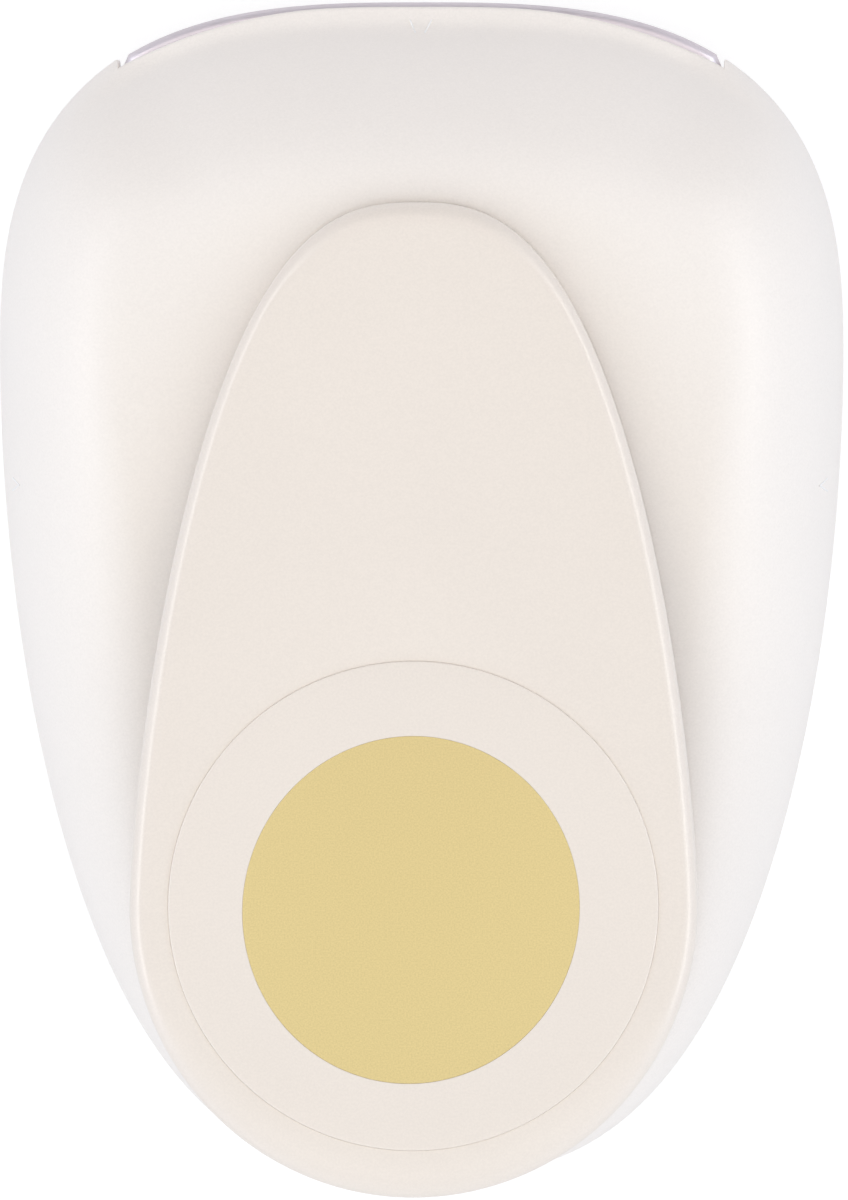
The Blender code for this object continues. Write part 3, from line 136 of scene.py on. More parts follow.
# Lever, in its own frame: origin on the shaft, +Y to its narrow end, +Z square to its top
HINGE_Y = 28.0 * MM
HINGE_Z = 29.0 * MM
LEVER_SLOPE = math.radians(9.5)
LEVER_SWING = math.radians(16.136)
PRESSED_SLOPE = LEVER_SLOPE - LEVER_SWING
LEVER_TOP = 12.3 * MM
LEVER_TIP_REACH = 8.8 * MM
LEVER_WIDEST_Y = -58.4 * MM
LEVER = Egg(26.8 * MM, LEVER_WIDEST_Y, 67.2 * MM, 27.4 * MM, (2.65, 1.5), (2.0, 2.0))
LEVER_RAY_Y = -38.0 * MM
LEVER_WALL = 1.8 * MM
LEVER_ROOF = 2.2 * MM
LEVER_ROUND = 1.5 * MM
LEVER_END_RUN = 2.3 * MM
LEVER_END_DROP = 0.5 * MM
LEVER_TAIL_SOFT_FROM, LEVER_TAIL_SOFT_TO = -66.0 * MM, -84.0 * MM
LEVER_TIP_SOFT_FROM, LEVER_TIP_SOFT_TO = -1.0 * MM, 7.0 * MM
LEVER_TIP_SOFTNESS = 0.5
LEVER_LIP_HEIGHT = 2.6 * MM
LEVER_LIP_UNDER_ROUND = 0.5 * MM
LEVER_SKIRT_INSET = 1.2 * MM
LEVER_SKIRT_DRAFT = 0.3 * MM
SKIRT_OUTER_FOOT = ((0.0, 0.5 * MM), (0.1 * MM, 0.15 * MM), (0.35 * MM, 0.0))
SKIRT_INNER_FOOT = ((0.3 * MM, 0.0), (0.08 * MM, 0.12 * MM), (0.0, 0.4 * MM))
LEVER_TIP_DEPTH = 5.2 * MM
LEVER_TAIL_DEPTH = 10.6 * MM
WELL_RADIUS = 25.3 * MM
WELL_FLOOR = 2.2 * MM
DISC_RADIUS = 23.1 * MM
DISC_THICKNESS = 2.0 * MM
DISC_ROUND = 0.18 * MM
SEAM_ROUND = 0.04 * MM
SEAM_GAP = 0.006 * MM
DISC_PROUD = 0.18 * MM
LABEL_HALF_WIDTH = 15.85 * MM
LABEL_HALF_LENGTH = 16.4 * MM
LABEL_TURN = math.radians(-10.9)
LABEL_PLACE = (-0.2 * MM, -0.43 * MM)
LABEL_THICKNESS = 0.4 * MM
LABEL_RECESS = 0.6 * MM
LABEL_SINK = 0.02 * MM
LABEL_GAP = 0.01 * MM
LABEL_ROUND = 0.04 * MM

# Opening in the deck and hole in the pocket's floor
OPENING_INSET = 0.3 * MM
OPENING_REAR_MARGIN = 3.4 * MM
OPENING_FRONT_Y = (HINGE_Y + LEVER_TIP_REACH * math.cos(LEVER_SLOPE)
                   + LEVER_TOP * math.sin(LEVER_SLOPE) - OPENING_INSET)
OPENING_WIDEST_Y = HINGE_Y + LEVER_WIDEST_Y * math.cos(PRESSED_SLOPE)
OPENING_REAR_Y = BODY_REAR_Y + OPENING_REAR_MARGIN
OPENING = Egg(LEVER.half_width - OPENING_INSET, OPENING_WIDEST_Y, OPENING_FRONT_Y - OPENING_WIDEST_Y,
              OPENING_WIDEST_Y - OPENING_REAR_Y, LEVER.front_powers, LEVER.rear_powers)
HOLE = Egg(22.5 * MM, -8.0 * MM, 44.5 * MM, 19.0 * MM, LEVER.front_powers, (2.6, 2.6))

# Fasteners, posts and springs
SCREW_RADIUS = 1.5 * MM
SCREW_HEAD_RADIUS = 2.6 * MM
SCREW_HEAD_HEIGHT = 1.2 * MM
SCREW_HEAD_ROUND = 0.45 * MM
SCREW_HEAD_WALL_SHARE = 0.3
SCREW_SINK = 0.1 * MM
CROSS_WIDTH = 0.55 * MM
CROSS_REACH = 1.45 * MM
CROSS_DEPTH = 0.7 * MM
CROSS_FLOOR_SHARE = 0.45
CROSS_MOUTH_SHARE = 1.1
COVER_HEAD_BOTTOM = COVER_BOTTOM + SCREW_SINK
COVER_HEAD_TOP = COVER_HEAD_BOTTOM + SCREW_HEAD_HEIGHT
FRAME_HEAD_TOP = DIE_BOTTOM + SCREW_SINK + SCREW_HEAD_HEIGHT
FRAME_SCREWS = ((34.3 * MM, 24.0 * MM), (25.0 * MM, -20.6 * MM))
BASE_SCREWS = ((24.0 * MM, 41.5 * MM, 5.0 * MM), (20.0 * MM, -35.0 * MM, 10.0 * MM))
CARRIER_TOP = 25.6 * MM
ARM_BOTTOM = 23.2 * MM
PUNCH_SCREW_X = 9.5 * MM
PUNCH_SCREW_LENGTH = 8.0 * MM
LEVER_SCREW_RADIUS = 1.2 * MM
LEVER_SCREW_HEAD_RADIUS = 2.4 * MM
LEVER_SCREW_LENGTH = 4.4 * MM
LEVER_SCREWS_Y = (-31.0 * MM, -60.0 * MM)
WEB_BOTTOM = 4.5 * MM
POSTS = ((16.97 * MM, 35.7 * MM), (16.01 * MM, -14.53 * MM))
SPRING_SEAT = 13.8 * MM
SPRING_WIRE_RADIUS = 0.35 * MM
SPRING_RADIUS = 2.5 * MM
SPRING_TURNS = 4
SPRING_TURN_STEPS = 24
SPRING_END_STEPS = 3
WIRE_SIDES = 10

# Feet
FOOT_RADIUS = 5.0 * MM
FOOT_HEIGHT = 1.5 * MM
FOOT_ROUND = 0.4 * MM
FOOT_DISH = 0.25 * MM
FOOT_DISH_SHARE = 0.7
FEET = ((30.0 * MM, 30.0 * MM), (13.5 * MM, -46.0 * MM))

# Centring marks: the strokes of the V in front and of the one at the left, ends in mm
MARK_WIDTH = 0.24 * MM
MARK_HEIGHT = 0.2 * MM
MARK_STEPS = 8
MARK_SECTION = ((-1, -1), (-0.5, 0.7), (0, 1), (0.5, 0.7), (1, -1))
FRONT_MARK = (((-1.07, 56.2), (-0.48, 54.86)), ((1.09, 56.2), (0.40, 54.86)))
LEFT_MARK = (((-39.7, 11.55), (-38.9, 10.9)), ((-39.75, 10.25), (-38.9, 10.9)))

# Mesh: rays, steps, gaps between rays in radians, and the housing's rings as shares of a stretch
SHELL_RAYS = 320
LEVER_RAYS = 288
PLATE_RAYS = 288
ROUND_STEPS = 160
SMALL_STEPS = 40
SHARP_ANGLE = math.radians(32)
WELD = 0.002 * MM
LEAST_EDGE = 0.001 * MM
HALVINGS = 40
LIP_ROUNDS = 10
SHELL_TURN_GAP = 0.006
PLATE_TURN_GAP = 0.004
BAND_STEPS = 10
RISE_SHARES = (0.35, 0.7, 0.92)
LIP_SHARES = (0.02, 0.05, 0.12, 0.25, 0.45, 0.6, 0.75, 0.9, 1.0)
INNER_SHARES = (0.0, 0.06, 0.12, 0.2, 0.3, 0.45, 0.6, 0.8, 1.0)
DOME_STEPS = 32
DOME_STEP_POWER = 1.35
POCKET_STEPS = 8
POCKET_EDGE_SHARE = 0.95
LEVER_TOP_SHARES = (0.25, 0.5, 0.75)
DISC_SHARES = (0.7, 0.35, 0.0)
FOOT_SHARES = (0.1, 0.3, 0.5)

# Grain of the surfaces: noise as features to the metre and detail, bumps in metres
NOISE_LOW, NOISE_HIGH = 0.3, 0.7
FLOW_NOISE, FLOW_SHADE = (55, 3), 0.985
SPECK_NOISE, SPECK_SHADE = (4500, 2), 0.955
GLOSS_NOISE, GLOSS_SPREAD = (420, 4), 0.01
FINE_NOISE, FINE_BUMP = (4200, 2), 0.02 * MM
COARSE_NOISE, COARSE_BUMP, COARSE_SHARE = (900, 3), 0.05 * MM, 0.35
TARNISH_NOISE, TARNISH_SHADE = (130, 4), 0.9
LINE_NOISE, LINE_BUMP, LINE_GLOSS = (1500, 3), 0.02 * MM, (-0.06, 0.08)
FOIL_METALLIC = 0.45
FOIL_ROUGH = (0.42, 0.5)
FOIL_SPECK_NOISE, FOIL_SHADES = (6500, 2), (1.05, 0.93)
FOIL_NOISE, FOIL_BUMP, FOIL_GRAIN = (5200, 2), 0.015 * MM, 0.25
DUST_NOISE, DUST_SHADE = (600, 5), 1.35
RUBBER_ROUGH = 0.82
RUBBER_NOISE, RUBBER_BUMP, RUBBER_GRAIN = (2600, 3), 0.04 * MM, 0.5

# Colours
CREAM = (0.88, 0.81, 0.73)
# The housing is the lever's cream plastic painted lighter: painted light that lifts the shade the lever
# casts on it
LIT_HOUSING_CREAM = (0.96, 0.915, 0.86)
# The marks are the housing's plastic painted whiter: a painted highlight on their raised edges
MARK_HIGHLIGHT_WHITE = (0.97, 0.96, 0.95)
BASE_WHITE = (0.78, 0.745, 0.70)
CARRIER_GREY = (0.76, 0.76, 0.745)
# The jaw's grey is the cast metal's own, and its lavender tint is painted shade from the dim front
CAST_GREY_AND_SHADE_TINT = (0.76, 0.705, 0.745)
SHIM_GREY = (0.58, 0.58, 0.6)
BRIGHT_GREY = (0.66, 0.66, 0.68)
PUNCH_GREY = (0.5, 0.5, 0.52)
GOLD = (0.685, 0.56, 0.262)
RUBBER_BLACK = (0.05, 0.05, 0.05)

# Plastics by slot: colour, roughness, grain, shine. Metals: colour, roughness, stretch of the lines,
# grain, metallic share
PLASTICS = {"cream_plastic": (CREAM, 0.3, 0.22, 0.6), "base_plastic": (BASE_WHITE, 0.55, 0.4, 0.5),
            "carrier_plastic": (CARRIER_GREY, 0.5, 0.3, 0.5)}
# The cast metal's colour carries that painted lavender shade
METALS = {"cast_metal": (CAST_GREY_AND_SHADE_TINT, 0.42, (1, 1, 1), 0.2, 0.6),
          "shim_steel": (SHIM_GREY, 0.34, (1, 0.1, 1), 0.12, 1),
          "bright_steel": (BRIGHT_GREY, 0.26, (1, 1, 8), 0.08, 1),
          "punch_steel": (PUNCH_GREY, 0.22, (1, 1, 10), 0.1, 1)}
# The housing's look carries that painted light in its lighter cream, with a duller gloss
LIT_HOUSING_LOOK = (LIT_HOUSING_CREAM, 0.42, 0.22, 0.3)
MARK_HIGHLIGHT_LOOK = (MARK_HIGHLIGHT_WHITE, 0.3, 0.05, 0.5)

# Floor, dome of light, and lamps as place, size, power and colour, in metres and watts
FLOOR_REACH = 4.0
FLOOR_BOUNCE = (0.86, 0.86, 0.86)
FLOOR_SEEN = (0.34, 0.34, 0.34)
FLOOR_GLOW = 0.75
SIDE_LIGHT = (1.4, 1.52, 1.75)
END_LIGHT = (0.12, 0.12, 0.13)
BEHIND_LIGHT = (0.85, 0.85, 0.9)
ABOVE_LIGHT = (0.46, 0.43, 0.38)
LAMP_AIM = (0, 0, 0.03)
TOP_LAMP = ((0, 0, 1.15), (1.3, 1.3), 3.95, (1.0, 0.985, 0.93))
FRONT_LAMP = ((0, 0.85, 0.85), (1.0, 0.4), 1.6, (1.0, 0.84, 0.82))
STRIP_LAMP = ((0.75, 0.3, 0.6), (1.2, 0.25), 3.6, (1, 1, 1))

# Camera: the aim falls on a pixel of the photograph
CAMERA_DISTANCE = 0.8
CAMERA_LEAN = math.radians(3.0)
CAMERA_TURN = math.radians(1.2)
CAMERA_AIM = (0, 0, 13.0 * MM)
CAMERA_SENSOR = 36.0
CAMERA_CLIP = (0.01, 20)
PIXELS_A_MM = 10.145
IMAGE_WIDTH, IMAGE_HEIGHT = 848, 1200
AIM_PIXEL = (421.5, 591.5)


def add_object(name, mesh_data, material, smooth=True):
    mesh = bpy.data.meshes.new(name)
    bmesh.ops.recalc_face_normals(mesh_data, faces=mesh_data.faces)
    mesh_data.to_mesh(mesh)
    mesh_data.free()
    made = bpy.data.objects.new(name, mesh)
    bpy.context.scene.collection.objects.link(made)
    if material:
        mesh.materials.append(material)
    if smooth:
        mesh.shade_smooth()
        mesh.set_sharp_from_angle(angle=SHARP_ANGLE)
    return made


def dress(piece, body, slot, *nodes):
    """Let a piece ride on a body and stand for the nodes that it is made to replace."""
    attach(piece, body)
    if nodes:
        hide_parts(*nodes)
    return piece


def loft(rings, ends="caps"):
    """Skin rings of points; ends is caps, or loop where the last ring joins the first."""
    body = bmesh.new()
    rows = [[body.verts.new(point) for point in ring] for ring in rings]
    pairs = list(zip(rows, rows[1:]))
    if ends == "loop":
        pairs.append((rows[-1], rows[0]))
    else:
        body.faces.new(list(reversed(rows[0])))
        body.faces.new(rows[-1])
    for lower, upper in pairs:
        for index in range(len(lower)):
            after = (index + 1) % len(lower)
            body.faces.new((lower[index], lower[after], upper[after], upper[index]))
    bmesh.ops.remove_doubles(body, verts=body.verts, dist=WELD)
    bmesh.ops.dissolve_degenerate(body, edges=body.edges, dist=LEAST_EDGE)
    return body


def circle_ring(radius, height, steps=ROUND_STEPS):
    turns = [2 * math.pi * step / steps for step in range(steps)]
    return [(radius * math.cos(turn), radius * math.sin(turn), height) for turn in turns]


def turned(profile, steps):
    """A solid turned about Z from (radius, height) pairs, lowest first."""
    return loft([circle_ring(radius, height, steps) for radius, height in profile])


def corner(centre, radius, start, end, steps=5):
    """Points of a rounded corner of a profile, from one angle to another, in degrees."""
    points = []
    for step in range(steps + 1):
        angle = math.radians(start + (end - start) * step / steps)
        points.append((centre[0] + radius * math.cos(angle), centre[1] + radius * math.sin(angle)))
    return points


def quarter_turn(steps, first=0):
    """Angles in even steps over a quarter turn, from a first step on."""
    return [math.pi / 2 * step / steps for step in range(first, steps + 1)]


def cut(target, tool):
    """Cut the tool out of the target for good and remove the tool."""
    step = target.modifiers.new("cut", "BOOLEAN")
    step.operation = "DIFFERENCE"
    step.solver = "EXACT"
    step.object = tool
    bpy.context.view_layer.update()
    shape = target.evaluated_get(bpy.context.evaluated_depsgraph_get())
    finished = bpy.data.meshes.new_from_object(shape)
    target.modifiers.clear()
    target.data = finished
    bpy.data.objects.remove(tool, do_unlink=True)
    finished.shade_smooth()
    finished.set_sharp_from_angle(angle=SHARP_ANGLE)


def egg_value(egg, x, y):
    """1 on the egg's outline, less inside it and more outside."""
    half_width, widest_y, front, rear, front_powers, rear_powers = egg
    along = y - widest_y
    length, powers = (front, front_powers) if along > 0 else (rear, rear_powers)
    return abs(x / half_width) ** powers[0] + abs(along / length) ** powers[1]


def inset_egg(egg, inset):
    """The egg with its width and both lengths made shorter by an inset."""
    return egg._replace(half_width=egg.half_width - inset, front=egg.front - inset,
                        rear=egg.rear - inset)


def farthest(is_inside, far):
    """The distance up to which a rule holds, found by halving."""
    near = 0.0
    for _ in range(HALVINGS):
        middle = (near + far) / 2
        if is_inside(middle):
            near = middle
        else:
            far = middle
    return near


def egg_reach(egg, centre_y, turn):
    """Distance from the point (0, centre_y) to the outline in the direction of the turn."""
    across, ahead = math.cos(turn), math.sin(turn)
    return farthest(lambda reach: egg_value(egg, reach * across, centre_y + reach * ahead) < 1,
                    egg.half_width + egg.front + egg.rear)


def egg_front(egg, x):
    """Y of an egg's front outline at an X."""
    across, ahead = egg.front_powers
    return egg.widest_y + egg.front * (1 - abs(x / egg.half_width) ** across) ** (1 / ahead)


def ray_turns(count):
    return [2 * math.pi * (step + 0.5) / count for step in range(count)]


def ray_ring(turns, reaches, centre_y, height):
    """A ring round (0, centre_y); height is a length or a rule for each Y."""
    ring = []
    for turn, reach in zip(turns, reaches):
        y = centre_y + reach * math.sin(turn)
        ring.append((reach * math.cos(turn), y, height(y) if callable(height) else height))
    return ring


def marked_turns(count, marks, gap):
    """Even ray directions and some marked ones, with no even one nearer than a gap to a mark."""
    turns = [turn for turn in ray_turns(count) if min(abs(turn - mark) for mark in marks) > gap]
    return sorted(turns + marks)


def circle_reach(radius, circle_y, centre_y, turn):
    """Distance along a ray from (0, centre_y) to a circle round (0, circle_y)."""
    offset = circle_y - centre_y
    along = offset * math.sin(turn)
    return along + math.sqrt(max(along * along - offset * offset + radius * radius, 0.0))


def smooth_step(value, low, high):
    share = min(max((value - low) / (high - low), 0.0), 1.0)
    return share * share * (3 - 2 * share)


def deck_height(y):
    """Height of the housing's crown, which falls away to the front and more to the rear."""
    if y > DECK_PEAK_Y:
        return DECK_PEAK - DECK_FRONT_DROP * ((y - DECK_PEAK_Y) / DECK_FRONT_RUN) ** 2
    return DECK_PEAK - DECK_REAR_DROP * ((DECK_PEAK_Y - y) / DECK_REAR_RUN) ** DECK_REAR_POWER


def pocket_height(y):
    """Height of the sloping floor under the lever."""
    return min(POCKET_MID_HEIGHT + POCKET_SLOPE * y, deck_height(y) - POCKET_LEAST_DEPTH)


def lip_share(edge_x, edge_y):
    """How much the front lip shapes a ray: 1 in the middle of the front, 0 at the sides and behind."""
    if edge_y < BODY_WIDEST_Y:
        return 0.0
    return 1 - smooth_step(abs(edge_x), LIP_FULL_X, LIP_GONE_X)


def ray_y(turn, reach):
    return RAY_CENTRE_Y + reach * math.sin(turn)


def dome_height(depth, gap, y, front):
    """Height of the housing at a depth inside its outline, of the gap between outline and opening."""
    crown = deck_height(y)
    blend = SHOULDER_BLEND_POWER
    run = (SHOULDER_RUN ** -blend + gap ** -blend) ** (-1 / blend)
    side_share = min(max(depth, 0.0) / run, 1.0)
    side = SIDE_SPRING_HEIGHT + (crown - SIDE_SPRING_HEIGHT) * math.sqrt(1 - (1 - side_share) ** 2)
    lip = LIP_HEIGHT + LIP_RISE * min(max(depth, 0.0) / LIP_DEPTH, 1.0)
    past = depth - LIP_DEPTH
    past = (past + math.hypot(past, LIP_CREASE_ROUND)) / 2
    rise_share = min(past / LIP_RUN, 1.0)
    slope = (1 - (1 - rise_share) ** FRONT_RISE_POWER) ** FRONT_CREST_POWER
    return side + (lip + (crown - lip) * slope - side) * front


def ray_spans(turn):
    """Distances to the outline, the opening and the hole along a ray, and its share of the lip."""
    edge = egg_reach(BODY, RAY_CENTRE_Y, turn)
    opening = egg_reach(OPENING, RAY_CENTRE_Y, turn)
    hole = egg_reach(HOLE, RAY_CENTRE_Y, turn)
    front = lip_share(edge * math.cos(turn), ray_y(turn, edge))
    return edge, opening, hole, front


def housing_height(x, y):
    """Height of the housing's outside above a point of its plan."""
    turn = math.atan2(y - RAY_CENTRE_Y, x)
    reach = math.hypot(x, y - RAY_CENTRE_Y)
    edge, opening, _, front = ray_spans(turn)
    return dome_height(edge - reach, edge - opening, y, front)


def bent_spot(turn, reach, edge):
    """A point of a ray, shifted near the mouth's ends so that the notches' walls run straight."""
    x, y = reach * math.cos(turn), ray_y(turn, reach)
    edge_x, edge_y = edge * math.cos(turn), ray_y(turn, edge)
    if edge_y < BODY_WIDEST_Y:
        return x, y
    near = 1 - smooth_step(abs(abs(edge_x) - MOUTH_HALF_WIDTH), 0.0, NOTCH_BEND_WIDTH)
    shallow = 1 - smooth_step(edge - reach, NOTCH_BEND_DEPTH, 3 * NOTCH_BEND_DEPTH)
    return x + (edge_x - x) * near * shallow, y


def lip_reach(turn, edge):
    """Distance along a ray to the front lip, set back more towards the notches."""
    reach = edge
    for _ in range(LIP_ROUNDS):
        x, _ = bent_spot(turn, reach, edge)
        back = (LIP_SET_BACK + LIP_SIDE_SET_BACK * smooth_step(abs(x), LIP_SIDES_FROM, LIP_SIDES_TO)
                - LIP_CORNER_RETURN * smooth_step(abs(x), LIP_SIDES_TO, MOUTH_HALF_WIDTH))
        reach = (egg_front(BODY, x) - back - RAY_CENTRE_Y) / math.sin(turn)
    return reach


def corner_cut(edge, turn):
    """How far the notch's rounded corner draws the outline in."""
    side = abs(edge * math.cos(turn)) - MOUTH_HALF_WIDTH
    if edge * math.sin(turn) < 0 or not -LEAST_STEP < side < NOTCH_ROUND:
        return 0.0
    return NOTCH_ROUND - math.sqrt(NOTCH_ROUND ** 2 - (NOTCH_ROUND - max(side, 0.0)) ** 2)


def shell_turns():
    """Ray directions of the housing, with close pairs at the two ends of the mouth."""
    marks = []
    for x in [-NOTCH_STEP] + [NOTCH_ROUND * share for share in NOTCH_SHARES]:
        x += MOUTH_HALF_WIDTH
        turn = math.atan2(egg_front(BODY, x) - RAY_CENTRE_Y, x)
        marks += [turn, math.pi - turn]
    first, last = (marks[0] + marks[2]) / 2, (marks[1] + marks[3]) / 2
    return marked_turns(SHELL_RAYS, marks, SHELL_TURN_GAP), first, last


def outer_column(turn, in_mouth):
    """Points up the outside of the housing along one ray, then over its deck to the hole."""
    edge, opening, hole, front = ray_spans(turn)
    gap = edge - opening
    limit = lip_reach(turn, edge) if in_mouth else edge - corner_cut(edge, turn)
    column = []

    def surface(reach):
        x, y = bent_spot(turn, reach, edge)
        if x == reach * math.cos(turn):
            return x, y, dome_height(edge - reach, gap, y, front)
        return x, y, housing_height(x, y)

    def add(reach, height):
        x, y = bent_spot(turn, reach, edge)
        side = abs(edge * math.cos(turn)) - MOUTH_HALF_WIDTH
        if not in_mouth and y > BODY_WIDEST_Y and -LEAST_STEP < side < NOTCH_DRAFT_WIDTH:
            low = max(MOUTH_TOP - height, 0.0) / MOUTH_TOP
            x += math.copysign(NOTCH_DRAFT * low * (1 - smooth_step(side, 0, NOTCH_DRAFT_WIDTH)), x)
        column.append((x, y, height))

    foot = edge - SHELL_FOOT_INSET
    low = SHELL_BOTTOM + SHELL_EDGE_ROUND
    wall = corner((foot - SHELL_EDGE_ROUND, low), SHELL_EDGE_ROUND, -90, 0, steps=4)
    for step in range(1, BAND_STEPS + 1):
        share = step / BAND_STEPS
        wall.append((edge - SHELL_FOOT_INSET * (1 - share) ** SHELL_FOOT_POWER,
                     low + (SHELL_BELT - low) * share))
    for reach, height in wall:
        add(min(limit, reach) if not in_mouth else limit, MOUTH_TOP if in_mouth else height)
    rim = LIP_EDGE_ROUND if in_mouth else LIP_EDGE_ROUND * front
    top = surface(limit)[2] - rim
    bottom = MOUTH_TOP if in_mouth else SHELL_BELT
    for share in RISE_SHARES:
        add(limit, bottom + (top - bottom) * share)
    for angle in quarter_turn(5):
        x, y, height = surface(limit - rim * (1 - math.cos(angle)))
        column.append((x, y, height - rim * (1 - math.sin(angle))))
    start = edge - limit + rim
    depths = [start + (LIP_DEPTH - start) * share for share in LIP_SHARES]
    run = gap - RIM_ROUND - LIP_DEPTH
    depths += [LIP_DEPTH + run * (step / DOME_STEPS) ** DOME_STEP_POWER
               for step in range(1, DOME_STEPS + 1)]
    column += [surface(edge - depth) for depth in depths]
    crown = column[-1][2]
    floor = pocket_height(ray_y(turn, opening))
    drop = max(crown - floor, LEAST_STEP)
    round_down = min(RIM_ROUND, drop)
    for angle in quarter_turn(5, first=1):
        add(opening + RIM_ROUND * (1 - math.sin(angle)), crown - round_down * (1 - math.cos(angle)))
    add(opening - POCKET_LEAST_DEPTH / 2, max(floor + LEAST_STEP / 2, crown - drop * POCKET_EDGE_SHARE))
    start = opening - POCKET_LEAST_DEPTH
    for step in range(POCKET_STEPS + 1):
        reach = start + (hole - start) * step / POCKET_STEPS
        add(reach, pocket_height(ray_y(turn, reach)))
    return column


def inner_column(turn, in_mouth):
    """Points up the inside of the housing along one ray, a wall below the outside."""
    edge, opening, hole, front = ray_spans(turn)
    gap = edge - opening
    start = SHELL_FOOT_INSET + SHELL_WALL
    run = max(gap - SHELL_WALL / 2, start + len(INNER_SHARES) * LEAST_STEP) - start
    pairs = [(edge - start, SHELL_BOTTOM), (edge - start, SHELL_BELT)]
    for share in INNER_SHARES:
        depth = start + run * share
        y = ray_y(turn, edge - depth)
        height = dome_height(depth, gap, y, front)
        slope = (dome_height(depth + LEAST_STEP, gap, y, front) - height) / LEAST_STEP
        height -= SHELL_WALL * math.hypot(1, slope)
        pairs.append((min(edge - depth, pairs[-1][0]), max(height, pairs[-1][1] + LEAST_STEP)))
    floor = pocket_height(ray_y(turn, opening)) - SHELL_WALL
    pairs.append((pairs[-1][0] - LEAST_STEP, min(floor, pairs[-1][1] - LEAST_STEP)))
    pairs.append((hole, pocket_height(ray_y(turn, hole)) - SHELL_WALL))
    column = []
    for reach, height in pairs:
        x, y = bent_spot(turn, reach, edge)
        column.append((x, y, max(height, MOUTH_TOP) if in_mouth else height))
    return column


def make_shell(plastic):
    turns, first, last = shell_turns()
    columns = []
    for turn in turns:
        in_mouth = first < turn < last
        columns.append(outer_column(turn, in_mouth) + list(reversed(inner_column(turn, in_mouth))))
    rings = [[column[row] for column in columns] for row in range(len(columns[0]))]
    shell = add_object("housing", loft(rings, ends="loop"), plastic)
    return dress(shell, "body", "cream_plastic", "shell")


def screw_tool(name, spots, radius, low, high):
    """Upright rods in one object, as one tool for all holes of a kind."""
    tool = bmesh.new()
    for x, y, *_ in spots:
        rod = turned([(radius, low), (radius, high)], SMALL_STEPS)
        bmesh.ops.translate(rod, verts=rod.verts, vec=(x, y, 0))
        mesh = bpy.data.meshes.new(name)
        rod.to_mesh(mesh)
        rod.free()
        tool.from_mesh(mesh)
        bpy.data.meshes.remove(mesh)
    return add_object(name, tool, None, smooth=False)


def both_sides(spots):
    return [(side * x, *rest) for x, *rest in spots for side in (-1, 1)]


def make_base_cover(plastic):
    turns = ray_turns(PLATE_RAYS)
    egg = inset_egg(BODY, FRAME_INSET)
    rim = COVER_ROUND
    profile = [(0, 0, COVER_TOP), (1, 0, COVER_TOP)]
    for out, height in corner((-rim, COVER_BOTTOM + rim), rim, 0, -90):
        profile.append((1, out, height))
    for out, height in corner((rim, COVER_BOTTOM + rim), rim, -90, -180):
        profile.append((0, out, height))
    edge = [egg_reach(egg, DIE_CENTRE_Y, turn) for turn in turns]
    rings = []
    for at_edge, out, height in profile:
        reaches = [(reach if at_edge else COVER_HOLE_RADIUS) + out for reach in edge]
        rings.append(ray_ring(turns, reaches, DIE_CENTRE_Y, height))
    cover = add_object("bottom_cover", loft(rings, ends="loop"), plastic)
    spots = both_sides(BASE_SCREWS)
    far = COVER_TOP + COVER_BOTTOM
    cut(cover, screw_tool("bores", spots, SCREW_RADIUS + SEAT_GAP, 0, far))
    cut(cover, screw_tool("sinks", spots, SCREW_HEAD_RADIUS + SEAT_GAP, 0, COVER_HEAD_TOP + SEAT_GAP))
    return dress(cover, "body", "base_plastic", "base_cover")


def in_jaw(x, y, inset):
    """Whether a point is in the jaw's outline: a plate with a square rear end, and the lip in front."""
    if egg_value(inset_egg(BODY, FRAME_INSET + inset), x, y) < 1 and y > FRAME_REAR_Y + inset:
        return True
    flare = min(max((egg_front(BODY, LIP_HALF_WIDTH) - y) / LIP_END_RUN, 0.0), 1.0) * LIP_END_FLARE
    if abs(x) > LIP_HALF_WIDTH + flare - inset:
        return False
    return BODY_WIDEST_Y < y < egg_front(BODY, x) - inset


def jaw_reach(turn, inset):
    across, ahead = math.cos(turn), math.sin(turn)
    return farthest(lambda reach: in_jaw(reach * across, DIE_CENTRE_Y + reach * ahead, inset),
                    BODY.half_width + BODY.front)


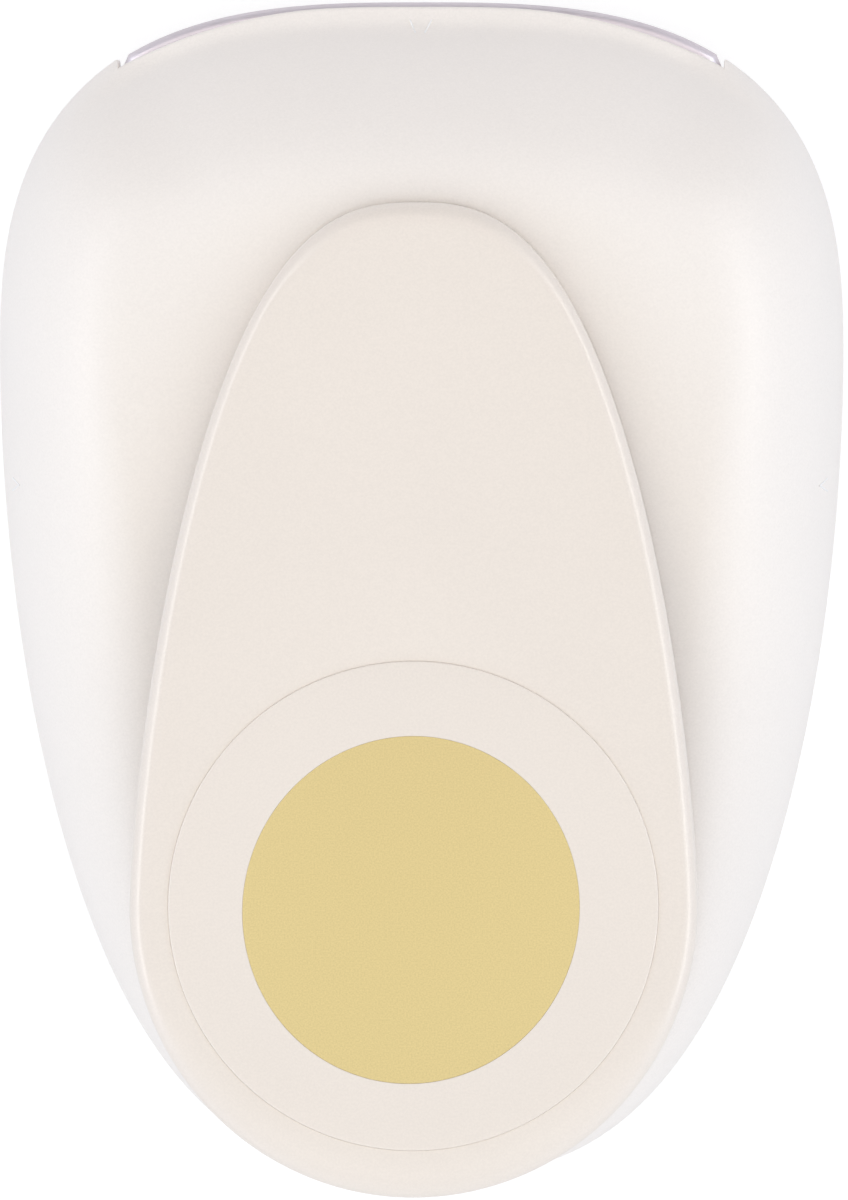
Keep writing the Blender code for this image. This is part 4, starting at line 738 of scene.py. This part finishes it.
def make_jaw(metal):
    """The lower jaw: a plate with a rounded lip in front and the die's bore in the middle."""
    flared = LIP_HALF_WIDTH + LIP_END_FLARE
    front_y = egg_front(BODY, LIP_HALF_WIDTH)
    meet_y = egg_front(inset_egg(BODY, FRAME_INSET), flared)
    marks = [math.atan2(y - DIE_CENTRE_Y, x) for x, y in
             ((LIP_HALF_WIDTH, front_y), (flared, front_y - LIP_END_RUN), (flared, meet_y))]
    marks += [math.pi - mark for mark in marks]
    turns = marked_turns(PLATE_RAYS, marks, PLATE_TURN_GAP)
    levels = [(DIE_RELIEF_RADIUS, None, DIE_BOTTOM)]
    levels += [(None, LIP_CHAMFER, DIE_BOTTOM), (None, LIP_CHAMFER / 3, DIE_BOTTOM + LIP_CHAMFER / 2),
               (None, 0, DIE_BOTTOM + LIP_CHAMFER * LIP_CHAMFER_RISE)]
    for out, height in corner((-LIP_RADIUS, DIE_TOP - LIP_RADIUS), LIP_RADIUS, 0, 90, steps=10):
        levels.append((None, -out, height))
    levels += [(DIE_RADIUS + DIE_EDGE, None, DIE_TOP), (DIE_RADIUS, None, DIE_TOP - DIE_EDGE),
               (DIE_RADIUS, None, DIE_BOTTOM + DIE_RELIEF_DEPTH),
               (DIE_RELIEF_RADIUS, None, DIE_BOTTOM + DIE_RELIEF_DEPTH)]
    rings = []
    for radius, inset, height in levels:
        reaches = [radius if inset is None else jaw_reach(turn, inset) for turn in turns]
        rings.append(ray_ring(turns, reaches, DIE_CENTRE_Y, height))
    jaw = add_object("jaw_plate", loft(rings, ends="loop"), metal)
    frame_spots = both_sides(FRAME_SCREWS)
    bore, sink = SCREW_RADIUS + SEAT_GAP, SCREW_HEAD_RADIUS + SEAT_GAP
    cut(jaw, screw_tool("bores", frame_spots, bore, 0, GUIDE_BOTTOM))
    cut(jaw, screw_tool("sinks", frame_spots, sink, 0, FRAME_HEAD_TOP + SEAT_GAP))
    tap_top = COVER_HEAD_TOP + BASE_SCREWS[0][2] + SLIDE_GAP
    cut(jaw, screw_tool("taps", both_sides(BASE_SCREWS[:1]), bore, 0, tap_top))
    return dress(jaw, "body", "cast_metal", "lower_die")


def skirt_depth(y):
    """Depth of the lever's skirt, which grows towards the tail."""
    share = (LEVER_TIP_REACH - y) / (LEVER.front + LEVER.rear)
    return LEVER_TIP_DEPTH + (LEVER_TAIL_DEPTH - LEVER_TIP_DEPTH) * share


def lever_place(y=0.0, z=0.0):
    """From a spot in the lever's own frame to the shared frame, with the lever at rest."""
    rest = Matrix.Translation((0, HINGE_Y, HINGE_Z)) @ Matrix.Rotation(-LEVER_SLOPE, 4, "X")
    return rest @ Matrix.Translation((0, y, z))


def end_softness(y):
    """How much wider the top's rounding is, 0 along the sides and up to 1 at the tail."""
    tail = smooth_step(-y, -LEVER_TAIL_SOFT_FROM, -LEVER_TAIL_SOFT_TO)
    return tail + LEVER_TIP_SOFTNESS * smooth_step(y, LEVER_TIP_SOFT_FROM, LEVER_TIP_SOFT_TO)


def make_lever(plastic):
    turns = ray_turns(LEVER_RAYS)

    def ring(reaches, height):
        return ray_ring(turns, reaches, LEVER_RAY_Y, height)

    def edge(inset):
        return [egg_reach(inset_egg(LEVER, inset), LEVER_RAY_Y, turn) for turn in turns]

    def circle(radius):
        return [circle_reach(radius, LEVER_WIDEST_Y, LEVER_RAY_Y, turn) for turn in turns]

    def foot_ring(inset, lift):
        return ring(edge(inset), lambda y: LEVER_TOP - skirt_depth(y) + lift)

    recess = DISC_RADIUS + SEAM_GAP
    recess_floor = LEVER_TOP - DISC_THICKNESS - SEAT_GAP
    well = recess_floor - WELL_FLOOR
    roof = LEVER_TOP - LEVER_ROOF
    inner = LEVER_SKIRT_INSET + LEVER_SKIRT_DRAFT + LEVER_WALL
    rings = [ring(circle(recess), recess_floor), ring(circle(recess), LEVER_TOP - SEAM_ROUND)]
    for angle in quarter_turn(4, first=1):
        rings.append(ring(circle(recess + SEAM_ROUND * (1 - math.cos(angle))),
                          LEVER_TOP - SEAM_ROUND * (1 - math.sin(angle))))
    soft = [end_softness(LEVER_RAY_Y + reach * math.sin(turn)) for turn, reach in zip(turns, edge(0))]

    def top_round(angle):
        """A ring of the top's rounding, from the flat at angle 0 to the side at a quarter turn."""
        reaches, drops = [], []
        for turn, share in zip(turns, soft):
            inset = (LEVER_ROUND + LEVER_END_RUN * share) * (1 - math.sin(angle))
            reaches.append(egg_reach(inset_egg(LEVER, inset), LEVER_RAY_Y, turn))
            drops.append((LEVER_ROUND + LEVER_END_DROP * share) * (1 - math.cos(angle)))
        return [(x, y, z - drop) for (x, y, z), drop in zip(ring(reaches, LEVER_TOP), drops)]

    flat = [math.hypot(x, y - LEVER_RAY_Y) for x, y, _ in top_round(0)]
    for share in LEVER_TOP_SHARES:
        spans = zip(circle(recess + SEAM_ROUND), flat)
        rings.append(ring([low + (high - low) * share for low, high in spans], LEVER_TOP))
    rings += [top_round(angle) for angle in quarter_turn(12)]
    under = LEVER_LIP_UNDER_ROUND
    for angle in quarter_turn(3):
        rings.append(ring(edge(under * (1 - math.cos(angle))),
                          LEVER_TOP - LEVER_LIP_HEIGHT + under * (1 - math.sin(angle))))
    rings.append(ring(edge(LEVER_SKIRT_INSET), LEVER_TOP - LEVER_LIP_HEIGHT))
    foot = LEVER_SKIRT_INSET + LEVER_SKIRT_DRAFT
    rings += [foot_ring(foot + inset, lift) for inset, lift in SKIRT_OUTER_FOOT]
    rings += [foot_ring(inner - inset, lift) for inset, lift in SKIRT_INNER_FOOT]
    inner_edge = edge(inner - LEVER_SKIRT_DRAFT)
    well_edge = [min(low, high - SEAT_GAP) for low, high in zip(circle(WELL_RADIUS), inner_edge)]
    rings += [ring(inner_edge, roof), ring(well_edge, roof), ring(well_edge, well)]
    lever = add_object("lever_cap", loft(rings), plastic)
    lever.matrix_world = lever_place()
    return dress(lever, "lever_arm", "cream_plastic", "lever")


def oval_ring(out, height, share=0.0):
    """The label's oval set out by a distance, or a share of the way from it to the disc's circle."""
    ring = []
    far = DISC_RADIUS - DISC_ROUND
    for step in range(ROUND_STEPS):
        turn = 2 * math.pi * step / ROUND_STEPS
        along = (LABEL_HALF_WIDTH + out) * math.cos(turn - LABEL_TURN)
        ahead = (LABEL_HALF_LENGTH + out) * math.sin(turn - LABEL_TURN)
        x = LABEL_PLACE[0] + along * math.cos(LABEL_TURN) - ahead * math.sin(LABEL_TURN)
        y = LABEL_PLACE[1] + along * math.sin(LABEL_TURN) + ahead * math.cos(LABEL_TURN)
        far_x, far_y = far * math.cos(turn), far * math.sin(turn)
        ring.append((x + (far_x - x) * share, y + (far_y - y) * share, height))
    return ring


def make_disc(plastic):
    """The round insert, a little proud of the lever, with the label's oval recess in it."""
    top = LEVER_TOP + DISC_PROUD
    bottom = LEVER_TOP - DISC_THICKNESS
    flat = DISC_RADIUS - DISC_ROUND
    profile = [(flat, bottom), (DISC_RADIUS, bottom + DISC_ROUND)]
    profile += corner((flat, top - DISC_ROUND), DISC_ROUND, 0, 90, steps=6)
    rings = [circle_ring(radius, height) for radius, height in profile]
    rings += [oval_ring(LABEL_GAP + LABEL_ROUND, top, share) for share in DISC_SHARES]
    rings += [oval_ring(LABEL_GAP, top - LABEL_ROUND), oval_ring(LABEL_GAP, top - LABEL_RECESS)]
    disc = add_object("disc_cap", loft(rings), plastic)
    disc.matrix_world = lever_place(LEVER_WIDEST_Y)
    return dress(disc, "lever_arm", "cream_plastic", "lever_disc")


def make_label(gold):
    high = LEVER_TOP + DISC_PROUD - LABEL_SINK
    rings = [oval_ring(0, high - LABEL_THICKNESS)]
    rings += [oval_ring(out, height) for out, height in
              corner((-LABEL_ROUND, high - LABEL_ROUND), LABEL_ROUND, 0, 90, steps=4)]
    label = add_object("gold_disc", loft(rings), gold)
    label.matrix_world = lever_place(LEVER_WIDEST_Y)
    return dress(label, "lever_arm", "gold_foil", "gold_label")


def spring_rings(low, high):
    """Rings of the wire from one end's short straight stretch over the turns to the other's."""
    steps = SPRING_TURNS * SPRING_TURN_STEPS
    rings = []
    for step in range(-SPRING_END_STEPS, steps + SPRING_END_STEPS + 1):
        inside = min(max(step, 0), steps)
        turn = 2 * math.pi * inside / SPRING_TURN_STEPS
        along = (step - inside) * math.pi * SPRING_RADIUS / SPRING_TURN_STEPS
        centre = (SPRING_RADIUS * math.cos(turn) - along * math.sin(turn),
                  SPRING_RADIUS * math.sin(turn) + along * math.cos(turn),
                  low + (high - low) * inside / steps)
        ring = []
        for out, up, _ in circle_ring(SPRING_WIRE_RADIUS, 0, WIRE_SIDES):
            ring.append((centre[0] + out * math.cos(turn), centre[1] + out * math.sin(turn),
                         centre[2] + up))
        rings.append(ring)
    return rings


def make_springs(steel):
    bottom, top = SPRING_SEAT + SEAT_GAP, ARM_BOTTOM - SEAT_GAP
    low, high = bottom + SPRING_WIRE_RADIUS, top - SPRING_WIRE_RADIUS
    for number, (x, y) in enumerate(both_sides(POSTS), 1):
        spring = add_object(f"coil_{number}", loft(spring_rings(low, high)), steel)
        spring.location = (x, y, 0)
        dress(spring, "body", "bright_steel", f"return_spring_{number}")
        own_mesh(spring)


def cross_tool(name):
    """A tapered cross, to be cut into a screw head from above; its mouth is at height zero."""
    half = CROSS_WIDTH / 2
    rings = []
    for height, share in ((-CROSS_DEPTH, CROSS_FLOOR_SHARE), (CROSS_DEPTH / 2, CROSS_MOUTH_SHARE)):
        reach = CROSS_REACH * share
        arm = [(reach, half), (half, half), (half, reach)]
        ring = []
        for _ in range(4):
            ring += [(x, y, height) for x, y in arm]
            arm = [(-y, x) for x, y in arm]
        rings.append(ring)
    return add_object(name, loft(rings), None, smooth=False)


def make_screw(name, length, steel, radius=SCREW_RADIUS, head_radius=SCREW_HEAD_RADIUS):
    """A pan-head screw with its head's seat at height zero, its shank below and its cross above."""
    head, rim = SCREW_HEAD_HEIGHT, SCREW_HEAD_ROUND
    profile = [(radius - rim / 2, -length), (radius, -length + rim / 2),
               (radius, 0), (head_radius, 0), (head_radius, head * SCREW_HEAD_WALL_SHARE)]
    profile += corner((head_radius - rim, head - rim), rim, 0, 90, steps=6)
    screw = add_object(name, turned(profile, SMALL_STEPS), steel)
    tool = cross_tool(name + "_cross")
    tool.location = (0, 0, head)
    cut(screw, tool)
    return screw


def make_screws(steel):
    upside_down = Matrix.Rotation(math.pi, 4, "X")
    for number, (x, y, length) in enumerate(both_sides(BASE_SCREWS), 1):
        screw = make_screw(f"bottom_screw_{number}", length, steel)
        screw.matrix_world = Matrix.Translation((x, y, COVER_HEAD_TOP)) @ upside_down
        dress(screw, "body", "bright_steel", f"base_screw_{number}")
    seat = CARRIER_TOP - SCREW_HEAD_HEIGHT - SCREW_SINK
    for number, side in enumerate((-1, 1), 1):
        screw = make_screw(f"slider_screw_{number}", PUNCH_SCREW_LENGTH, steel)
        screw.location = (side * PUNCH_SCREW_X, DIE_CENTRE_Y, seat)
        dress(screw, "punch_slider", "bright_steel", f"punch_screw_{number}")
    for number, y in enumerate(LEVER_SCREWS_Y, 1):
        screw = make_screw(f"core_screw_{number}", LEVER_SCREW_LENGTH, steel, LEVER_SCREW_RADIUS,
                           LEVER_SCREW_HEAD_RADIUS)
        screw.matrix_world = lever_place(y, WEB_BOTTOM - SEAT_GAP) @ upside_down
        dress(screw, "lever_arm", "bright_steel", f"lever_screw_{number}")


def make_feet(rubber):
    rim = FOOT_ROUND
    profile = [(FOOT_RADIUS * share, FOOT_DISH * (1 - (share / FOOT_DISH_SHARE) ** 2))
               for share in (*FOOT_SHARES, FOOT_DISH_SHARE)]
    profile += corner((FOOT_RADIUS - rim, rim), rim, -90, 0)
    profile += [(FOOT_RADIUS, FOOT_HEIGHT - rim / 2), (FOOT_RADIUS - rim / 2, FOOT_HEIGHT)]
    for number, (x, y) in enumerate(both_sides(FEET), 1):
        foot = add_object(f"rubber_foot_{number}", turned(profile, 2 * SMALL_STEPS), rubber)
        foot.location = (x, y, 0)
        dress(foot, "body", "foot_rubber", f"foot_{number}")


def ridge(points, width, height):
    """A thin raised line along points on the housing, with the marks' pointed section."""
    rings = []
    for index, (x, y) in enumerate(points):
        before, after = points[max(index - 1, 0)], points[min(index + 1, len(points) - 1)]
        run = math.hypot(after[0] - before[0], after[1] - before[1])
        across = (-(after[1] - before[1]) / run, (after[0] - before[0]) / run)
        ring = []
        for side, up in MARK_SECTION:
            spot = (x + across[0] * width / 2 * side, y + across[1] * width / 2 * side)
            ring.append((*spot, housing_height(*spot) + height * up))
        rings.append(ring)
    return loft(rings)


def make_marks(plastic):
    """Fine centring marks moulded on the housing: in front, and at each side in line with the die."""
    # Their skin is painted whiter than the housing, as a painted highlight
    strokes = list(FRONT_MARK) + list(LEFT_MARK)
    strokes += [tuple((-x, y) for x, y in stroke) for stroke in LEFT_MARK]
    for number, stroke in enumerate(strokes, 1):
        (x0, y0), (x1, y1) = stroke
        shares = [step / MARK_STEPS for step in range(MARK_STEPS + 1)]
        points = [((x0 + (x1 - x0) * share) * MM, (y0 + (y1 - y0) * share) * MM) for share in shares]
        mark = add_object(f"centring_mark_{number}", ridge(points, MARK_WIDTH, MARK_HEIGHT), plastic)
        dress(mark, "body", "cream_plastic")


def feed(tree, node, inputs):
    """Give a node's inputs, by name or number, values, outputs, or the first outputs of nodes."""
    for key, value in inputs.items():
        if isinstance(value, bpy.types.Node):
            value = value.outputs[0]
        if isinstance(value, bpy.types.NodeSocket):
            tree.links.new(value, node.inputs[key])
        else:
            node.inputs[key].default_value = value
    return node


def add_node(tree, kind, inputs, **settings):
    node = tree.nodes.new("ShaderNode" + kind)
    for name, value in settings.items():
        setattr(node, name, value)
    return feed(tree, node, inputs)


def new_material(name):
    material = bpy.data.materials.new(name)
    material.use_nodes = True
    return material, material.node_tree, material.node_tree.nodes["Principled BSDF"]


def add_noise(tree, noise, stretch=(1, 1, 1)):
    """Noise in the piece's own coordinates."""
    scale, detail = noise
    place = add_node(tree, "TexCoord", {}).outputs["Object"]
    mapping = add_node(tree, "Mapping", {"Vector": place, "Scale": stretch})
    return add_node(tree, "TexNoise", {"Vector": mapping, "Scale": scale, "Detail": detail})


def add_range(tree, source, low, high):
    """Spread the middle of a noise over a range."""
    spread = {"Value": source, "From Min": NOISE_LOW, "From Max": NOISE_HIGH,
              "To Min": low, "To Max": high}
    return add_node(tree, "MapRange", spread)


def add_tint(tree, source, first, second):
    tints = {"Factor": source, "A": (*first, 1), "B": (*second, 1)}
    return add_node(tree, "Mix", tints, data_type="RGBA").outputs["Result"]


def add_bump(tree, source, strength, distance):
    return add_node(tree, "Bump", {"Height": source, "Strength": strength, "Distance": distance})


def shade(colour, amount):
    return tuple(channel * amount for channel in colour)


def plastic_material(name, colour, rough, grain, shine):
    """Moulded plastic: spark-eroded grain, fine specks, faint flow shading and slightly uneven gloss."""
    material, tree, shader = new_material(name)
    flow = add_range(tree, add_noise(tree, FLOW_NOISE), 0, 1)
    speck = add_range(tree, add_noise(tree, SPECK_NOISE), SPECK_SHADE, 1.0)
    tint = add_tint(tree, flow, colour, shade(colour, FLOW_SHADE))
    tone = add_node(tree, "VectorMath", {0: tint, "Scale": speck}, operation="SCALE")
    gloss = add_noise(tree, GLOSS_NOISE)
    gloss = add_range(tree, gloss, rough - GLOSS_SPREAD, rough + GLOSS_SPREAD)
    coarse = add_bump(tree, add_noise(tree, COARSE_NOISE), grain * COARSE_SHARE, COARSE_BUMP)
    fine = add_bump(tree, add_noise(tree, FINE_NOISE), grain, FINE_BUMP)
    feed(tree, fine, {"Normal": coarse})
    feed(tree, shader, {"Base Color": tone, "Roughness": gloss, "Specular IOR Level": shine,
                        "Normal": fine})
    return material


def metal_material(name, colour, rough, stretch, grain, metallic):
    """Worked metal: fine lines along one direction over a soft cloud of tarnish."""
    material, tree, shader = new_material(name)
    cloud = add_range(tree, add_noise(tree, TARNISH_NOISE), 0, 1)
    lines = add_noise(tree, LINE_NOISE, stretch)
    gloss = add_range(tree, lines, rough + LINE_GLOSS[0], rough + LINE_GLOSS[1])
    feed(tree, shader, {"Base Color": add_tint(tree, cloud, colour, shade(colour, TARNISH_SHADE)),
                        "Metallic": metallic, "Roughness": gloss,
                        "Normal": add_bump(tree, lines, grain, LINE_BUMP)})
    return material


def foil_material(name, colour):
    """Satin foil: an even tone with a fine sparkling grain."""
    material, tree, shader = new_material(name)
    speck = add_range(tree, add_noise(tree, FOIL_SPECK_NOISE), 0, 1)
    light, dark = FOIL_SHADES
    grain = add_bump(tree, add_noise(tree, FOIL_NOISE), FOIL_GRAIN, FOIL_BUMP)
    feed(tree, shader, {"Base Color": add_tint(tree, speck, shade(colour, light), shade(colour, dark)),
                        "Metallic": FOIL_METALLIC, "Roughness": add_range(tree, speck, *FOIL_ROUGH),
                        "Normal": grain})
    return material


def rubber_material(name, colour):
    """Matt rubber with a little dust."""
    material, tree, shader = new_material(name)
    dust = add_range(tree, add_noise(tree, DUST_NOISE), 0, 1)
    grain = add_bump(tree, add_noise(tree, RUBBER_NOISE), RUBBER_GRAIN, RUBBER_BUMP)
    feed(tree, shader, {"Base Color": add_tint(tree, dust, colour, shade(colour, DUST_SHADE)),
                        "Roughness": RUBBER_ROUGH, "Normal": grain})
    return material


def finish_nodes(materials):
    """Give every solid the material of its slot."""
    slots = {entry["node"]: entry["material_slot"] for entry in frame["record"]["subparts"]}
    for name, node in frame["nodes"].items():
        material = materials[slots[name]]
        node.data.materials.clear()
        node.data.materials.append(material)


def show_to_camera(tree, output, lighting, seen):
    """End a node tree with one shader that lights the scene and another that the camera sees."""
    rays = add_node(tree, "LightPath", {})
    pick = add_node(tree, "MixShader", {0: rays.outputs["Is Camera Ray"], 1: lighting, 2: seen})
    add_node(tree, output, {"Surface": pick})


def make_floor():
    """A plain white floor that keeps a soft shadow."""
    material, tree, _ = new_material("floor_white")
    tree.nodes.clear()
    plain = add_node(tree, "BsdfDiffuse", {"Color": (*FLOOR_BOUNCE, 1)})
    pale = add_node(tree, "BsdfDiffuse", {"Color": (*FLOOR_SEEN, 1)})
    glow = add_node(tree, "Emission", {"Color": (1, 1, 1, 1), "Strength": FLOOR_GLOW})
    seen = add_node(tree, "AddShader", {0: pale, 1: glow})
    show_to_camera(tree, "OutputMaterial", plain, seen)
    body = bmesh.new()
    corners = [(x * FLOOR_REACH, y * FLOOR_REACH, 0) for x, y in ((-1, -1), (1, -1), (1, 1), (-1, 1))]
    body.faces.new([body.verts.new(point) for point in corners])
    add_object("floor", body, material, smooth=False)


def make_world():
    """A soft dome of light with its own colour to the sides, to both ends, more behind, and above."""
    world = bpy.data.worlds.new("studio")
    world.use_nodes = True
    tree = world.node_tree
    tree.nodes.clear()
    way = add_node(tree, "TexCoord", {}).outputs["Generated"]
    squares = add_node(tree, "VectorMath", {0: way, 1: way}, operation="MULTIPLY")
    share = add_node(tree, "SeparateXYZ", {"Vector": squares}).outputs
    along = add_node(tree, "SeparateXYZ", {"Vector": way}).outputs["Y"]
    is_behind = add_node(tree, "Math", {0: along, 1: 0.0}, operation="LESS_THAN")
    behind = add_node(tree, "Math", {0: share["Y"], 1: is_behind}, operation="MULTIPLY")
    total = None
    for amount, colour in ((share["X"], SIDE_LIGHT), (share["Y"], END_LIGHT), (behind, BEHIND_LIGHT),
                           (share["Z"], ABOVE_LIGHT)):
        part = add_node(tree, "VectorMath", {0: colour, "Scale": amount}, operation="SCALE")
        total = add_node(tree, "VectorMath", {0: total, 1: part}, operation="ADD") if total else part
    light = add_node(tree, "Background", {"Color": total})
    white = add_node(tree, "Background", {"Color": (1, 1, 1, 1)})
    show_to_camera(tree, "OutputWorld", light, white)
    bpy.context.scene.world = world


def add_lamp(name, place, size, power, colour, gloss_only=False):
    """A soft rectangular lamp on the punch, seen in reflections alone where it is for gloss only."""
    lamp = bpy.data.lights.new(name, "AREA")
    lamp.shape = "RECTANGLE"
    lamp.size, lamp.size_y = size
    lamp.energy = power
    lamp.color = colour
    made = bpy.data.objects.new(name, lamp)
    bpy.context.scene.collection.objects.link(made)
    made.location = place
    made.rotation_euler = (Vector(LAMP_AIM) - Vector(place)).to_track_quat("-Z", "Y").to_euler()
    made.visible_diffuse = not gloss_only


def make_lamps():
    add_lamp("top_lamp", *TOP_LAMP)
    add_lamp("front_lamp", *FRONT_LAMP)
    (x, y, z), size, power, colour = STRIP_LAMP
    for name, side in (("left_strip", -1), ("right_strip", 1)):
        add_lamp(name, (x * side, y, z), size, power, colour, gloss_only=True)


def make_camera():
    """The camera stands almost straight above, and image up is the front of the punch."""
    data = bpy.data.cameras.new("camera")
    camera = bpy.data.objects.new("camera", data)
    bpy.context.scene.collection.objects.link(camera)
    back = Vector((math.sin(CAMERA_TURN), math.sin(CAMERA_LEAN) * math.cos(CAMERA_TURN),
                   math.cos(CAMERA_LEAN) * math.cos(CAMERA_TURN)))
    camera.location = Vector(CAMERA_AIM) + CAMERA_DISTANCE * back
    right = Vector((0, 1, 0)).cross(back).normalized()
    up = back.cross(right)
    turn = Matrix((right, up, back)).transposed()
    camera.rotation_euler = turn.to_euler()
    data.sensor_fit = "AUTO"
    data.sensor_width = CAMERA_SENSOR
    focal_pixels = PIXELS_A_MM * CAMERA_DISTANCE / MM
    data.lens = focal_pixels * data.sensor_width / IMAGE_HEIGHT
    data.shift_x = (IMAGE_WIDTH / 2 - AIM_PIXEL[0]) / IMAGE_HEIGHT
    data.shift_y = -(IMAGE_HEIGHT / 2 - AIM_PIXEL[1]) / IMAGE_HEIGHT
    data.clip_start, data.clip_end = CAMERA_CLIP
    bpy.context.scene.camera = camera


def make_materials():
    """The materials by slot."""
    materials = {slot: plastic_material(slot + "_skin", *look) for slot, look in PLASTICS.items()}
    materials.update({slot: metal_material(slot + "_skin", *look) for slot, look in METALS.items()})
    materials["gold_foil"] = foil_material("gold_foil_skin", GOLD)
    materials["foot_rubber"] = rubber_material("foot_rubber_skin", RUBBER_BLACK)
    return materials


def build():
    materials = make_materials()
    finish_nodes(materials)
    # The housing's skin is painted lighter than the lever's, as painted light over the lever's shade
    make_shell(plastic_material("lit_housing_skin", *LIT_HOUSING_LOOK))
    # The marks' whiter skin is a painted highlight
    make_marks(plastic_material("mark_highlight_skin", *MARK_HIGHLIGHT_LOOK))
    make_base_cover(materials["base_plastic"])
    make_jaw(materials["cast_metal"])
    make_lever(materials["cream_plastic"])
    make_disc(materials["cream_plastic"])
    make_label(materials["gold_foil"])
    make_springs(materials["bright_steel"])
    make_screws(materials["bright_steel"])
    make_feet(materials["foot_rubber"])
    make_floor()
    make_world()
    make_lamps()
    make_camera()
    bpy.context.scene.view_settings.view_transform = "Standard"


build()
bpy.context.view_layer.update()
